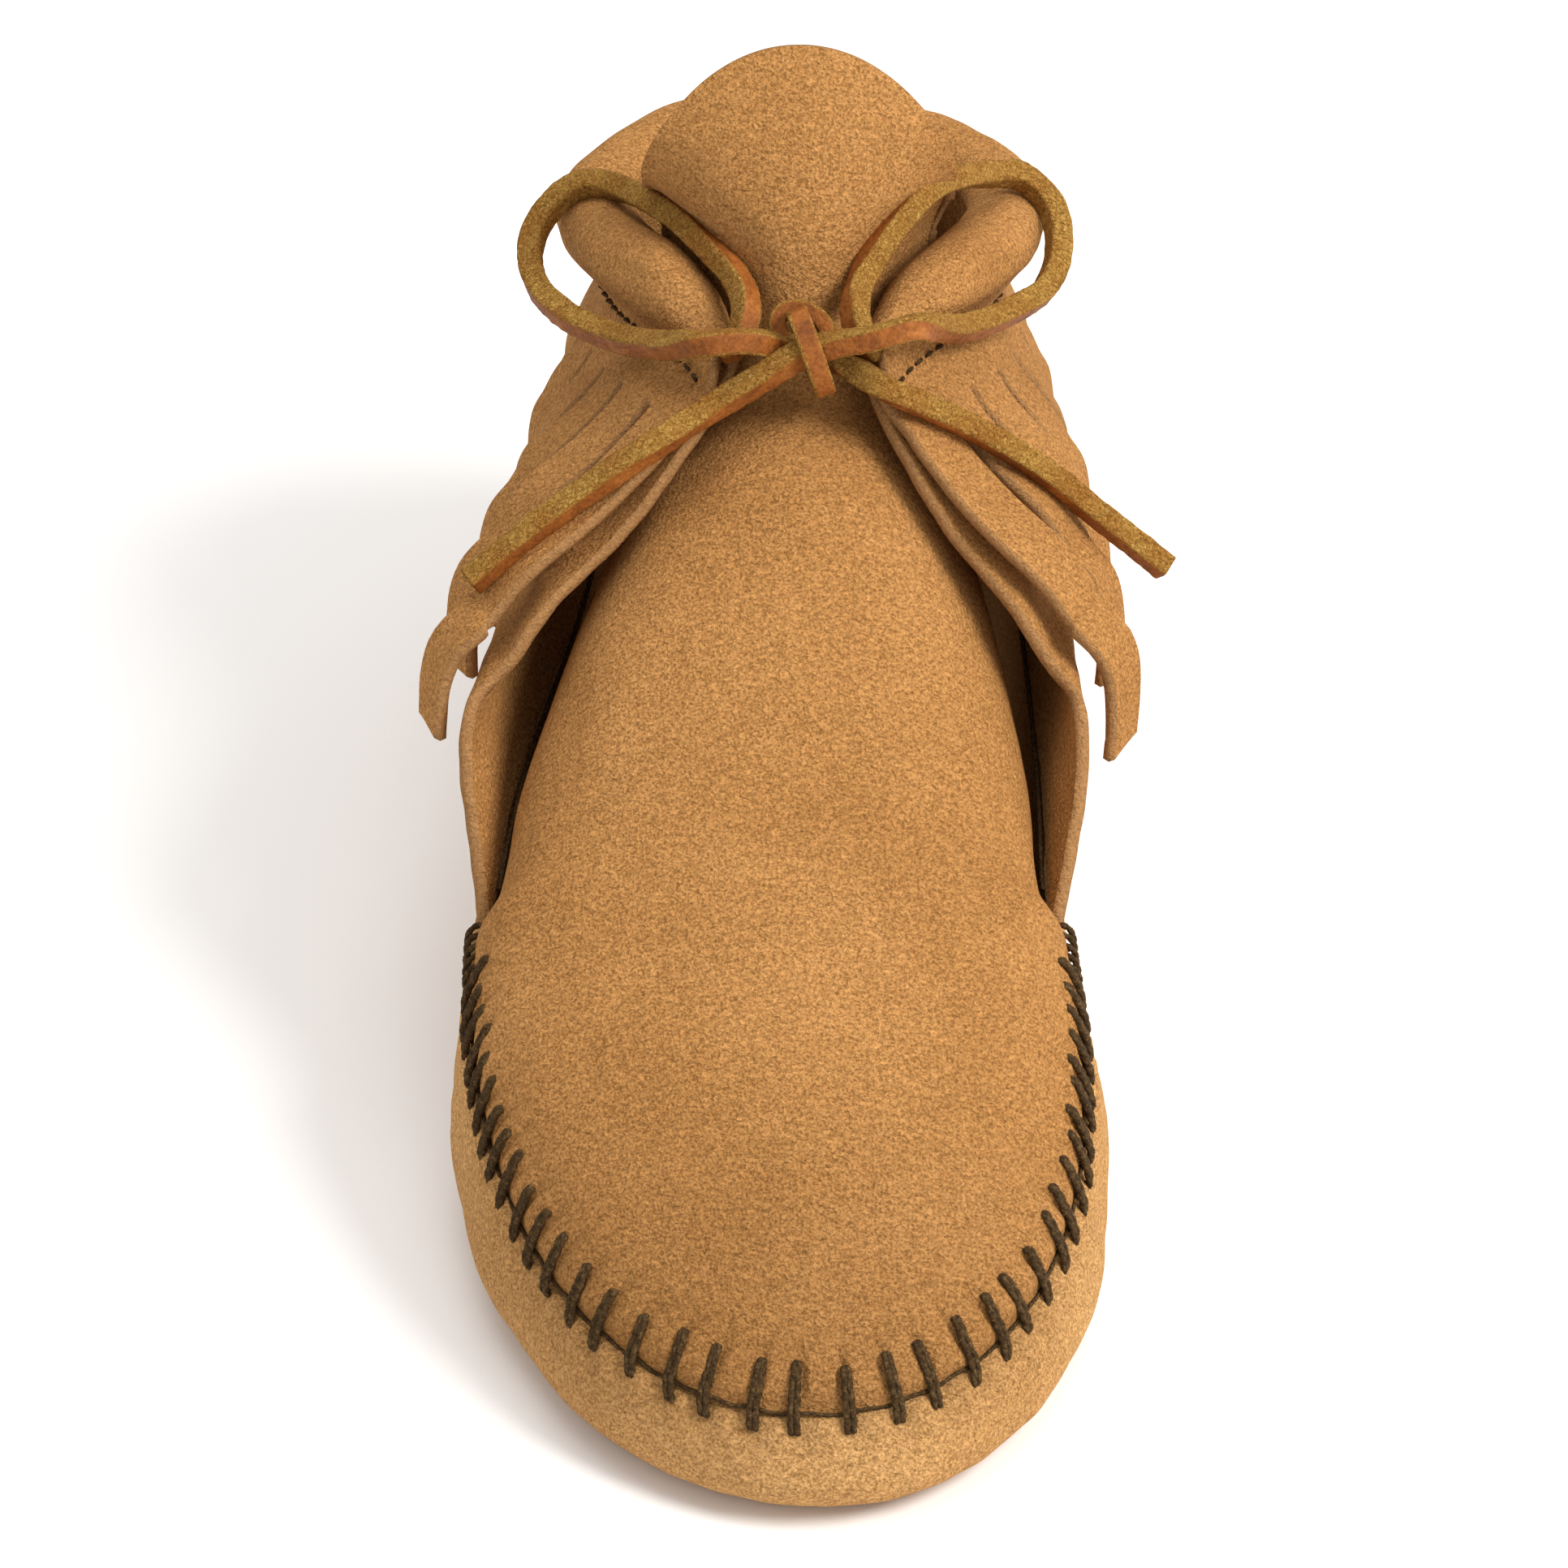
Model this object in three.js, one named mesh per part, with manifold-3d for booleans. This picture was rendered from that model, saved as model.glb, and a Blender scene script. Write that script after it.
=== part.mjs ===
// A soft-soled suede ankle moccasin for the right foot: a gathered one-piece bottom, a plug that
// runs on into the tongue, two quarters, and a rolled collar whose cuff hangs down as fringe.
// Millimetres. +X is the inner (medial) side, +Y points to the heel, +Z is up, and the origin is
// on the ground under the middle of the sole.
import * as THREE from "three";
import Module from "manifold-3d";

const wasm = await Module();
wasm.setup();

// Driving dimensions.
const shoe = { length: 240, ballWidth: 96, collarHeight: 96 };
const suede = 2;
const gap = 0.3;
const toeTuck = 2; // how far the sole's toe falls short of half the length
const toeSeam = { setBack: 8.5, height: 16 };
const heelRim = { setBack: 3, height: 48 };
const soleEdge = 10;
const roll = { radius: 5.9, frontRadius: 5.2 };
const flap = { stitchDrop: 9, rootDrop: 17, flare: 5 };
const fringe = { strips: 11, slit: 0.7, tip: 0.8 };
const thread = {
  running: 1.2, bar: 2, barOnPlug: 7, barOnWall: 2.2, bars: 37,
  clear: 0.9, tack: 2.6, fine: 0.8, tackRoom: 10,
};
const lace = { width: 3.3, sides: 8 };
const insole = { foam: 3, cover: 1, foamInset: 10, coverInset: 8.5 };

// The curves below are drawn on a last of this size and stretched to the sizes above.
const last = { length: 240, ballWidth: 96, collarHeight: 96 };
const stretch = {
  x: shoe.ballWidth / last.ballWidth,
  y: shoe.length / last.length,
  z: shoe.collarHeight / last.collarHeight,
};
const onLast = (x, y, z) => new THREE.Vector3(x * stretch.x, y * stretch.y, z * stretch.z);

// A smooth function through a few [position, value] stations.
function through(...stations) {
  const spline = new THREE.CubicInterpolant(
    stations.map((station) => station[0]),
    stations.map((station) => station[1]),
    1,
  );
  return (position) => spline.evaluate(position)[0];
}

const smooth = (from, to, value) => THREE.MathUtils.smoothstep(value, from, to);
const mix = THREE.MathUtils.lerp;

// Materials.
const material = (color, roughness) => new THREE.MeshStandardMaterial({ color, roughness, metalness: 0 });
const finish = {
  suede: () => material(0xc89b5f, 0.95),
  soleSuede: () => material(0xcda56e, 0.97),
  thread: () => material(0x4b3c23, 0.8),
  lace: () => material(0x965a28, 0.6),
  foam: () => material(0xe6dcc8, 0.9),
  lining: () => material(0xb48c5a, 0.95),
};

const SIDES = [[-1, "left"], [1, "right"]];
const shares = (count) => Array.from({ length: count + 1 }, (_, i) => i / count);

// ---------------------------------------------------------------------------------------------
// Solids from surfaces

const KEY_DIGITS = 4;

// Collects triangles, sharing equal corners and dropping those that have shrunk to a line.
class Skin {
  constructor() {
    this.corners = new Map();
    this.positions = [];
    this.triangles = [];
  }

  corner(point) {
    const key = point.toArray().map((value) => value.toFixed(KEY_DIGITS)).join();
    if (!this.corners.has(key)) {
      this.corners.set(key, this.positions.length / 3);
      this.positions.push(...point.toArray());
    }
    return this.corners.get(key);
  }

  triangle(a, b, c) {
    const [i, j, k] = [a, b, c].map((point) => this.corner(point));
    if (i !== j && j !== k && k !== i) this.triangles.push(i, j, k);
  }

  quad(a, b, c, d) {
    this.triangle(a, b, c);
    this.triangle(a, c, d);
  }

  geometry() {
    const geometry = new THREE.BufferGeometry();
    geometry.setAttribute("position", new THREE.Float32BufferAttribute(this.positions, 3));
    geometry.setIndex(this.triangles);
    geometry.computeVertexNormals();
    return geometry;
  }
}

const DERIVATIVE_STEP = 1e-3;

// The unit normal of a surface, u direction cross v direction.
function normalOf(surface, u, v) {
  const span = (value) => [Math.max(value - DERIVATIVE_STEP, 0), Math.min(value + DERIVATIVE_STEP, 1)];
  const [u0, u1] = span(u);
  const [v0, v1] = span(v);
  const alongU = surface(u1, v).sub(surface(u0, v));
  const alongV = surface(u, v1).sub(surface(u, v0));
  return alongU.cross(alongV).normalize();
}

// A sheet of leather: the surface is its outer face, and the inner face lies a thickness below it.
// "side" is 1 where u cross v points outwards, -1 where it points inwards. A sheet that butts
// against another takes its normals from normalAt.
function sheet({ surface, columns, rows, side, thickness = suede, closed = false, normalAt }) {
  const outer = [];
  const inner = [];
  for (let i = 0; i <= columns; i += 1) {
    outer.push([]);
    inner.push([]);
    for (let j = 0; j <= rows; j += 1) {
      const u = closed && i === columns ? 0 : i / columns;
      const v = j / rows;
      const point = surface(u, v);
      const normal = normalAt ? normalAt(u, v) : normalOf(surface, u, Math.min(v, 1 - DERIVATIVE_STEP));
      outer[i].push(point);
      inner[i].push(point.clone().addScaledVector(normal, -side * thickness));
    }
  }
  const skin = new Skin();
  const quad = (a, b, c, d) => (side > 0 ? skin.quad(a, b, c, d) : skin.quad(d, c, b, a));
  for (let i = 0; i < columns; i += 1) {
    for (let j = 0; j < rows; j += 1) {
      quad(outer[i][j], outer[i + 1][j], outer[i + 1][j + 1], outer[i][j + 1]);
      quad(inner[i][j], inner[i][j + 1], inner[i + 1][j + 1], inner[i + 1][j]);
    }
    quad(outer[i][0], inner[i][0], inner[i + 1][0], outer[i + 1][0]);
    quad(outer[i][rows], outer[i + 1][rows], inner[i + 1][rows], inner[i][rows]);
  }
  for (let j = 0; j < rows && !closed; j += 1) {
    quad(outer[0][j], outer[0][j + 1], inner[0][j + 1], inner[0][j]);
    quad(outer[columns][j], inner[columns][j], inner[columns][j + 1], outer[columns][j + 1]);
  }
  return skin.geometry();
}

// A thread or thong: a round section carried along a curve.
function tube(curve, diameter, steps, sides) {
  const section = new THREE.Shape(
    new THREE.EllipseCurve(0, 0, diameter / 2, diameter / 2).getPoints(sides).slice(0, sides),
  );
  return new THREE.ExtrudeGeometry(section, { steps, extrudePath: curve, bevelEnabled: false });
}

// A closed geometry as a solid for cutting and joining, and back again.
function solidOf(geometry) {
  const skin = new Skin();
  const flat = geometry.index ? geometry.toNonIndexed() : geometry;
  const position = flat.getAttribute("position");
  const read = (index) => new THREE.Vector3().fromBufferAttribute(position, index);
  for (let i = 0; i < position.count; i += 3) skin.triangle(read(i), read(i + 1), read(i + 2));
  return new wasm.Manifold(
    new wasm.Mesh({
      numProp: 3,
      vertProperties: new Float32Array(skin.positions),
      triVerts: new Uint32Array(skin.triangles),
    }),
  );
}

function geometryOf(solid) {
  const mesh = solid.getMesh();
  const geometry = new THREE.BufferGeometry();
  geometry.setAttribute("position", new THREE.BufferAttribute(mesh.vertProperties, 3));
  geometry.setIndex(new THREE.BufferAttribute(mesh.triVerts, 1));
  geometry.computeVertexNormals();
  return geometry;
}

const joined = (geometries) => geometryOf(geometries.map(solidOf).reduce((all, next) => all.add(next)));

const model = new THREE.Group();

function add(name, geometry, look, hinge) {
  const mesh = new THREE.Mesh(geometry, look);
  mesh.name = name;
  if (hinge) mesh.userData.hinge = hinge;
  model.add(mesh);
}

// ---------------------------------------------------------------------------------------------
// Lines of the last

const half = last.length / 2;
const ball = { sole: -49, seam: -45 };
const heelCentre = 85;
const throatY = -30;
const ROUND = { sole: 2.05, rim: 2.2 };

// How far the middle of the shoe lies to the inner side: the foot bends inwards at the toe.
const spine = through(
  [-122, 5], [-104, 3.5], [-92, 2.5], [-74, 1.2], [-49, -1], [-30, -2], [0, -0.5], [40, 2.5], [100, 2.5],
  [122, 2],
);

// Half the width of an outline: a rounded toe, a waist through stations and a rounded heel.
function halfWidth(toeY, ballY, heelY, round, stations) {
  const waist = through(...stations);
  const rounded = (width, share) => width * Math.sqrt(Math.max(1 - share ** round, 0));
  return (y) => {
    if (y < ballY) return rounded(waist(ballY), (ballY - y) / (ballY - toeY));
    if (y > heelCentre) return rounded(waist(heelCentre), (y - heelCentre) / (heelY - heelCentre));
    return waist(y);
  };
}

const soleToe = -half + toeTuck;
const seamToe = -half + toeSeam.setBack;
const rimHeel = half - heelRim.setBack;
const soleWidth = halfWidth(soleToe, ball.sole, half, ROUND.sole, [
  [ball.sole, last.ballWidth / 2], [-25, 44.5], [0, 41], [30, 37.5], [60, 34.5], [heelCentre, 33],
]);
const rimWidth = halfWidth(seamToe, ball.seam, rimHeel, ROUND.rim, [
  [ball.seam, 44], [throatY, 43], [0, 41], [40, 36], [heelCentre, 31],
]);
const rimHeight = through(
  [seamToe, toeSeam.height], [-104, 17], [-92, 19], [-74, 23], [-57, 28], [ball.seam, 33],
  [throatY, 38], [0, 42], [40, 44], [80, 46], [rimHeel, heelRim.height],
);

// Points round an outline, from the toe (0) to the heel (1) on one side, -1 outer or 1 inner.
const alongEnds = (toeY, heelY, share) => mix(toeY, heelY, (1 - Math.cos(Math.PI * share)) / 2);

function solePoint(share, side) {
  const y = alongEnds(soleToe, half, share);
  return onLast(spine(y) + side * soleWidth(y), y, 0);
}

function rimPoint(share, side) {
  const y = alongEnds(seamToe, rimHeel, share);
  return onLast(spine(y) + side * rimWidth(y), y, rimHeight(y));
}

// The share of the rim line at which it reaches a given y on the last.
const rimShare = (y) => Math.acos(1 - (2 * (y - seamToe)) / (rimHeel - seamToe)) / Math.PI;
const throatShare = rimShare(throatY);

// ---------------------------------------------------------------------------------------------
// Bottom: sole and walls in one piece

const BULGE_SHARE = 0.42;

function roundTheShoe(u) {
  return u < 0.5 ? { side: -1, share: 1 - 2 * u } : { side: 1, share: 2 * u - 1 };
}

// The wall from the rim (v = 0) over the bulge (0.5) to the edge of the flat sole (1).
function wallPoint(u, v) {
  const { side, share } = roundTheShoe(u);
  const rim = rimPoint(share, side);
  rim.z -= gap / 2;
  const edge = solePoint(share, side);
  const bulge = rim.z * BULGE_SHARE;
  if (v < 0.5) {
    const rise = 1 - 2 * v;
    const point = edge.clone().lerp(rim, rise * rise);
    point.z = mix(bulge, rim.z, rise);
    return point;
  }
  const turn = (v - 0.5) * Math.PI;
  const before = roundTheShoe(Math.max(u - DERIVATIVE_STEP, 0));
  const after = roundTheShoe(Math.min(u + DERIVATIVE_STEP, 1));
  const along = solePoint(after.share, after.side).sub(solePoint(before.share, before.side)).normalize();
  const inwards = new THREE.Vector3(-along.y, along.x, 0);
  edge.addScaledVector(inwards, soleEdge * (1 - Math.cos(turn)));
  edge.z = bulge * (1 - Math.sin(turn));
  return edge;
}

const soleCentre = onLast(spine(0), 0, 0);
const WALL_SHARE = 0.8;

function bottomPoint(u, v) {
  if (v <= WALL_SHARE) return wallPoint(u, v / WALL_SHARE);
  const point = wallPoint(u, 1).lerp(soleCentre, (v - WALL_SHARE) / (1 - WALL_SHARE));
  point.z = 0;
  return point;
}

add(
  "bottom",
  sheet({ surface: bottomPoint, columns: 50, rows: 10, side: -1, closed: true }),
  finish.soleSuede(),
);

// ---------------------------------------------------------------------------------------------
// Plug: the top of the foot, from the toe seam to the crease under the knot

const crease = { y: 36, height: 88.5, halfWidth: 22, base: 66, sweep: 20 };
const ridge = through(
  [seamToe, toeSeam.height], [-106, 22], [-98, 28], [-80, 38], [-60, 46.5], [-40, 54.5], [-20, 64],
  [0, 75], [18, 84], [crease.y, crease.height],
);
const throatRelease = 4.5;
const release = throatY - throatRelease;
const plugWidth = through(
  [release, 43.3], [throatY, 40.4], [-26, 39.3], [-10, 37.5], [5, 33.5], [20, 27.5],
  [crease.y, crease.halfWidth],
);
const plugBase = through(
  [release, rimHeight(release)], [throatY, 38.5], [-10, 45], [5, 51], [20, 58.5], [crease.y, crease.base],
);
const plugSweep = through([0, 0], [18, 7], [crease.y, crease.sweep]);
const FIRST_ROW = 0.035;

// u runs from the outer edge (0) to the inner edge (1), v from the toe (0) to the crease (1).
function plugPoint(u, v) {
  const turn = Math.PI * (1 - u);
  const across = Math.cos(turn);
  const arch = Math.sin(turn) ** 0.9;
  const share = mix(FIRST_ROW, 1, v);
  const y = alongEnds(seamToe, 2 * crease.y - seamToe, share / 2);
  const sewn = y < release;
  const width = sewn ? rimWidth(y) : plugWidth(y);
  const base = sewn ? rimHeight(y) : plugBase(y);
  const sweep = y > 0 ? plugSweep(y) * across * across : 0;
  return onLast(spine(y) + across * width, y + sweep, base + (ridge(y) - base) * arch);
}

add("plug", sheet({ surface: plugPoint, columns: 16, rows: 22, side: 1 }), finish.suede());

// ---------------------------------------------------------------------------------------------
// Tongue: the plug's free end, which stands up behind the knot

const tongueLine = new THREE.CatmullRomCurve3(
  [[36, 88.5], [38.2, 95], [41, 102], [45.5, 112], [51.5, 121.5], [59, 130]].map(([y, z]) => onLast(0, y, z)),
);
const tongueWidth = through(
  [0, crease.halfWidth], [0.15, 20.2], [0.3, 19.6], [0.4, 20], [0.5, 21.8], [0.65, 24.6], [1, 24.6],
);
const tongueSweep = through([0, crease.sweep], [0.18, 31], [0.5, 30], [0.7, 20], [1, 11]);
const tongueDrop = through([0, crease.height - crease.base], [0.2, 17], [0.4, 10], [0.6, 6], [1, 2]);
const TONGUE_ROUND_FROM = 0.55;
const TONGUE_TIP = 0.05;

function tonguePoint(u, v) {
  const turn = Math.PI * (1 - u);
  const across = Math.cos(turn);
  const arch = Math.sin(turn) ** 0.9;
  const rounding = Math.max((v - TONGUE_ROUND_FROM) / (1 - TONGUE_ROUND_FROM), 0);
  const width = tongueWidth(v) * Math.sqrt(1 - (1 - TONGUE_TIP) * rounding ** 2.6);
  const centre = tongueLine.getPoint(v);
  const out = spine(crease.y) + across * width;
  const side = onLast(out, tongueSweep(v) * across ** 2, tongueDrop(v) * (arch - 1));
  const onwards = plugPoint(u, 1).sub(plugPoint(u, 1 - DERIVATIVE_STEP)).normalize();
  return centre.add(side).addScaledVector(onwards, gap * (1 - v) ** 8);
}

// The tongue turns about the low ends of the crease, so that folding it back opens the crease.
const tongueHinge = onLast(spine(crease.y), crease.y + crease.sweep, crease.base);

// At the crease the tongue's faces continue the plug's, so that their cut edges are parallel.
function tongueNormal(u, v) {
  const own = normalOf(tonguePoint, u, Math.min(v, 1 - DERIVATIVE_STEP));
  return normalOf(plugPoint, u, 1).lerp(own, smooth(0, 0.15, v)).normalize();
}

add(
  "tongue",
  sheet({ surface: tonguePoint, columns: 12, rows: 13, side: 1, normalAt: tongueNormal }),
  finish.suede(),
  { at: tongueHinge.toArray(), axis: [-1, 0, 0] },
);

// ---------------------------------------------------------------------------------------------
// Quarters: from the rim of the bottom up to the collar, on both sides

// A point by its distance out from the middle line of the shoe.
const beside = (side, out, y, z) => onLast(spine(y) + side * out, y, z);
const curveBeside = (side, points) =>
  new THREE.CatmullRomCurve3(points.map(([out, y, z]) => beside(side, out, y, z)), false, "centripetal");

const frontEdge = [
  [43, throatY, 38], [46.2, -13, 54.5], [45.2, -6.5, 61.5], [41, -2, 65], [36, 2.5, 71], [25.5, 12.5, 78],
  [18.5, 20, 85], [12.5, 28.5, 91], [10, 36, 94.5],
];
const collarLine = [
  [10, 36, 94.5], [12.8, 43, 95], [18.3, 53, 94], [23.2, 62, 92.3], [26.5, 71, 90.5], [28, 80, 88.7],
  [26.5, 89, 87.7],
  [21.5, 96, 87.2], [14, 101, 87], [6, 103.2, 87], [0, 103.4, 87],
];
const heelLine = [[0, rimHeel, heelRim.height], [0, 114, 60], [0, 108.5, 74], [0, 103.4, 87]];

// The quarter's outer face between its four edges: u from the front (0) to the heel (1), v from
// the rim of the bottom (0) to the collar (1).
function quarterSurface(side) {
  const front = curveBeside(side, frontEdge);
  const collar = curveBeside(side, collarLine);
  const heel = curveBeside(side, heelLine);
  const rim = (u) => {
    const point = rimPoint(mix(throatShare, 1, u), side);
    point.z += gap / 2;
    return point;
  };
  return (u, v) => {
    const between = (a, b, share) => a.clone().lerp(b, share);
    const back = 1 - (1 - u) ** 2;
    const upright = between(front.getPointAt(v), heel.getPointAt(v), back);
    const level = between(rim(u), collar.getPointAt(u), v);
    const ends = (start, end) => between(start, end, back);
    const corners = between(ends(rim(0), rim(1)), ends(collar.getPointAt(0), collar.getPointAt(1)), v);
    const point = upright.add(level).sub(corners);
    point.x += side * gap * u ** 8;
    return point;
  };
}

// ---------------------------------------------------------------------------------------------
// Cuffs: the quarter's leather rolled over at the collar and hanging down outside

const flapOffset = through(
  [0, 2 * roll.radius - suede], [4, 2 * roll.radius - suede - 1.5], [flap.stitchDrop, suede + 2 * gap],
  [flap.rootDrop, suede + 3 * gap], [flap.rootDrop + 16, suede + 3], [60, suede + flap.flare],
);
const rollRadius = (u) => mix(roll.frontRadius, roll.radius, smooth(0, 0.14, u));
const tipShare = through([0, 0.25], [0.2, 0.18], [0.45, 0.08], [1, 0.06]);
const ROLL_ROWS = 6;
const CUFF_ROWS = 10;

function cuffSurface(side) {
  const quarter = quarterSurface(side);
  const outwards = (u, v) => normalOf(quarter, u, v).multiplyScalar(side);
  const fallLength = (u) => {
    let length = 0;
    for (let i = 0; i < 8; i += 1) length += quarter(u, i / 8).distanceTo(quarter(u, (i + 1) / 8));
    return length;
  };
  const rootShare = (u) => 1 - flap.rootDrop / fallLength(u);

  // A point of the outer layer, by its share of the quarter's height.
  const hanging = (u, v) => {
    const drop = (1 - v) * fallLength(u);
    return quarter(u, v).addScaledVector(outwards(u, v), flapOffset(drop));
  };

  const cuff = (u, v) => {
    const rolled = ROLL_ROWS / CUFF_ROWS;
    if (v > rolled) return hanging(u, mix(1, rootShare(u), (v - rolled) / (1 - rolled)));
    const radius = rollRadius(u);
    const base = quarter(u, 1);
    const up = base.clone().sub(quarter(u, 0.96)).normalize();
    const out = outwards(u, 1);
    const turn = (Math.PI * v) / rolled;
    const width = turn > Math.PI / 2 ? flapOffset(0) + suede - radius : radius;
    return base
      .addScaledVector(out, radius - suede - width * Math.cos(turn))
      .addScaledVector(up, radius * Math.sin(turn) + gap * Math.cos(turn / 2));
  };
  const stitchLine = shares(30).map((share) => {
    const u = mix(0.03, 0.98, share);
    const v = 1 - flap.stitchDrop / fallLength(u);
    const lift = thread.fine / 2 + thread.clear;
    return hanging(u, v).addScaledVector(outwards(u, v), lift);
  });
  const tunnel = shares(26).map((share) => {
    const u = mix(0.005, 1, share);
    const up = quarter(u, 1).sub(quarter(u, 0.96)).normalize();
    return quarter(u, 1).addScaledVector(outwards(u, 1), rollRadius(u) - suede).addScaledVector(up, -gap);
  });
  return { quarter, cuff, hanging, rootShare, stitchLine, tunnel };
}

// ---------------------------------------------------------------------------------------------
// Fringe: the cuff's lower part, slit into strips that each bend at the root

function strip(side, surfaces, uAt) {
  const { hanging, rootShare } = surfaces;
  const slit = gap / 40;
  const u = uAt(0.5);
  const centre = (b) => hanging(u, mix(rootShare(u), tipShare(u), b));
  const rootPoint = (a) => hanging(uAt(a), rootShare(uAt(a)) - slit);
  const surface = (a, b) => {
    const across = rootPoint(a).sub(rootPoint(0.5)).multiplyScalar(mix(1, fringe.tip, b ** 3));
    return across.add(centre(b)).add(rootPoint(0.5)).sub(centre(0));
  };
  const normalAt = (a, b) => {
    const root = normalOf(hanging, uAt(a), rootShare(uAt(a))).negate();
    return root.lerp(normalOf(surface, a, b), smooth(0, 0.3, b)).normalize();
  };
  const axis = rootPoint(1).sub(rootPoint(0)).normalize().multiplyScalar(-side);
  return { surface, normalAt, hinge: { at: centre(0).toArray(), axis: axis.toArray() } };
}

const cuffs = new Map(SIDES.map(([side]) => [side, cuffSurface(side)]));

for (const [side, name] of SIDES) {
  const surfaces = cuffs.get(side);
  const { quarter, cuff, hanging, rootShare } = surfaces;
  add(`quarter_${name}`, sheet({ surface: quarter, columns: 22, rows: 8, side }), finish.suede());
  add(`cuff_${name}`, sheet({ surface: cuff, columns: 26, rows: CUFF_ROWS, side: -side }), finish.suede());

  const rootLine = new THREE.CatmullRomCurve3(shares(40).map((u) => hanging(u, rootShare(u))));
  const slit = (fringe.slit * fringe.strips) / rootLine.getLength() / 2;
  for (let i = 0; i < fringe.strips; i += 1) {
    const uAt = (a) => rootLine.getUtoTmapping((i + mix(i ? slit : 0, 1 - slit, a)) / fringe.strips);
    const { surface, normalAt, hinge } = strip(side, surfaces, uAt);
    const number = String(i + 1).padStart(2, "0");
    const solid = sheet({ surface, columns: 2, rows: 5, side: -side, normalAt });
    add(`fringe_${name}_${number}`, solid, finish.suede(), hinge);
  }
}

// ---------------------------------------------------------------------------------------------
// Threads

// The plug's outer face as a height over the ground plan, with its normal.
function plugFace(x, y) {
  const height = (px, py) => {
    const across = Math.min(Math.abs(px / stretch.x - spine(py / stretch.y)) / rimWidth(py / stretch.y), 1);
    const base = rimHeight(py / stretch.y);
    return (base + (ridge(py / stretch.y) - base) * (1 - across * across) ** 0.45) * stretch.z;
  };
  const step = 0.05;
  const z = height(x, y);
  const normal = new THREE.Vector3(z - height(x + step, y), z - height(x, y + step), step).normalize();
  return { point: new THREE.Vector3(x, y, z), normal };
}

// The toe seam from the outer throat (0) round the toe to the inner throat (1).
const seamLength = new THREE.CatmullRomCurve3(
  shares(80).map((share) => {
    const place = mix(-1, 1, share) * rimShare(throatY - thread.tackRoom);
    return rimPoint(Math.abs(place), Math.sign(place) || 1);
  }),
);
const barLift = thread.bar / 2 + thread.clear;

function seamPlace(position) {
  const place = mix(-1, 1, seamLength.getUtoTmapping(position)) * rimShare(throatY - thread.tackRoom);
  const side = Math.sign(place) || 1;
  const share = Math.abs(place);
  const u = (1 + side * share) / 2;
  const seam = rimPoint(share, side);
  const along = seamLength.getTangentAt(position);
  const inwards = new THREE.Vector3(-along.y, along.x, 0).normalize();
  let top;
  for (let step = 0.1; !top || top.point.distanceTo(seam) < thread.barOnPlug; step += 0.1)
    top = plugFace(seam.x + inwards.x * step, seam.y + inwards.y * step);
  let v = 0.02;
  while (wallPoint(u, v).distanceTo(seam) < thread.barOnWall) v += 0.01;
  const low = { point: wallPoint(u, v), normal: normalOf(wallPoint, u, v).negate() };
  const normal = top.normal.clone().add(low.normal).normalize();
  return { seam, top, low, normal };
}

const lifted = ({ point, normal }) => point.clone().addScaledVector(normal, barLift);

function seamBar(position) {
  const { seam, top, low, normal } = seamPlace(position);
  const middle = seam.clone().addScaledVector(normal, barLift);
  return tube(new THREE.CatmullRomCurve3([lifted(top), middle, lifted(low)]), thread.bar, 3, 6);
}

// Bars stand further apart round the toe than along the sides.
const TOE_SPREAD = 0.28;
const barPosition = (i) => {
  const even = (i + 0.5) / thread.bars;
  return even + (TOE_SPREAD * Math.sin(2 * Math.PI * (even - 0.5))) / (2 * Math.PI);
};
const runningThread = new THREE.CatmullRomCurve3(
  shares(40).map((share) => {
    const { seam, normal } = seamPlace(mix(barPosition(0), barPosition(thread.bars - 1), share));
    return seam.addScaledVector(normal, barLift);
  }),
);
const bars = Array.from({ length: thread.bars }, (_, i) => seamBar(barPosition(i)));
add("plug_seam_thread", joined([tube(runningThread, thread.running, 48, 5), ...bars]), finish.thread());

// Each end of the toe seam is whipped over, just below the quarter's front corner.
function tackCurve(side) {
  return shares(4).map((share) => {
    const place = rimShare(throatY - mix(2, thread.tackRoom - 2, share));
    const seam = rimPoint(place, side);
    const { normal } = plugFace(mix(seam.x, spine(throatY), 0.03), seam.y);
    return seam.addScaledVector(normal.setZ(normal.z / 2).normalize(), thread.tack / 2 + thread.clear);
  });
}

const threadTube = (points, diameter, steps) => tube(new THREE.CatmullRomCurve3(points), diameter, steps, 5);
const insideLine = (surface, side, places) =>
  places.map(([u, v]) =>
    surface(u, v).addScaledVector(normalOf(surface, u, v), -side * (suede + gap + thread.fine / 2)),
  );

for (const [side, name] of SIDES) {
  const { quarter, stitchLine } = cuffs.get(side);
  add(`throat_tack_${name}`, threadTube(tackCurve(side), thread.tack, 8), finish.thread());
  add(`collar_thread_${name}`, threadTube(stitchLine, thread.fine, 34), finish.thread());
  const turned = insideLine(quarter, side, shares(20).map((share) => [mix(0.03, 0.97, share), 0]));
  add(`side_seam_thread_${name}`, threadTube(turned, thread.fine, 22), finish.thread());
}
const heelShares = shares(6).map((share) => [1, mix(0.05, 0.95, share)]);
const heelStitches = insideLine(cuffs.get(1).quarter, 1, heelShares);
add("heel_seam_thread", threadTube(heelStitches, thread.fine, 10), finish.thread());

// ---------------------------------------------------------------------------------------------
// Insole: a foam sock with a suede cover, laid on the sole inside the walls

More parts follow.
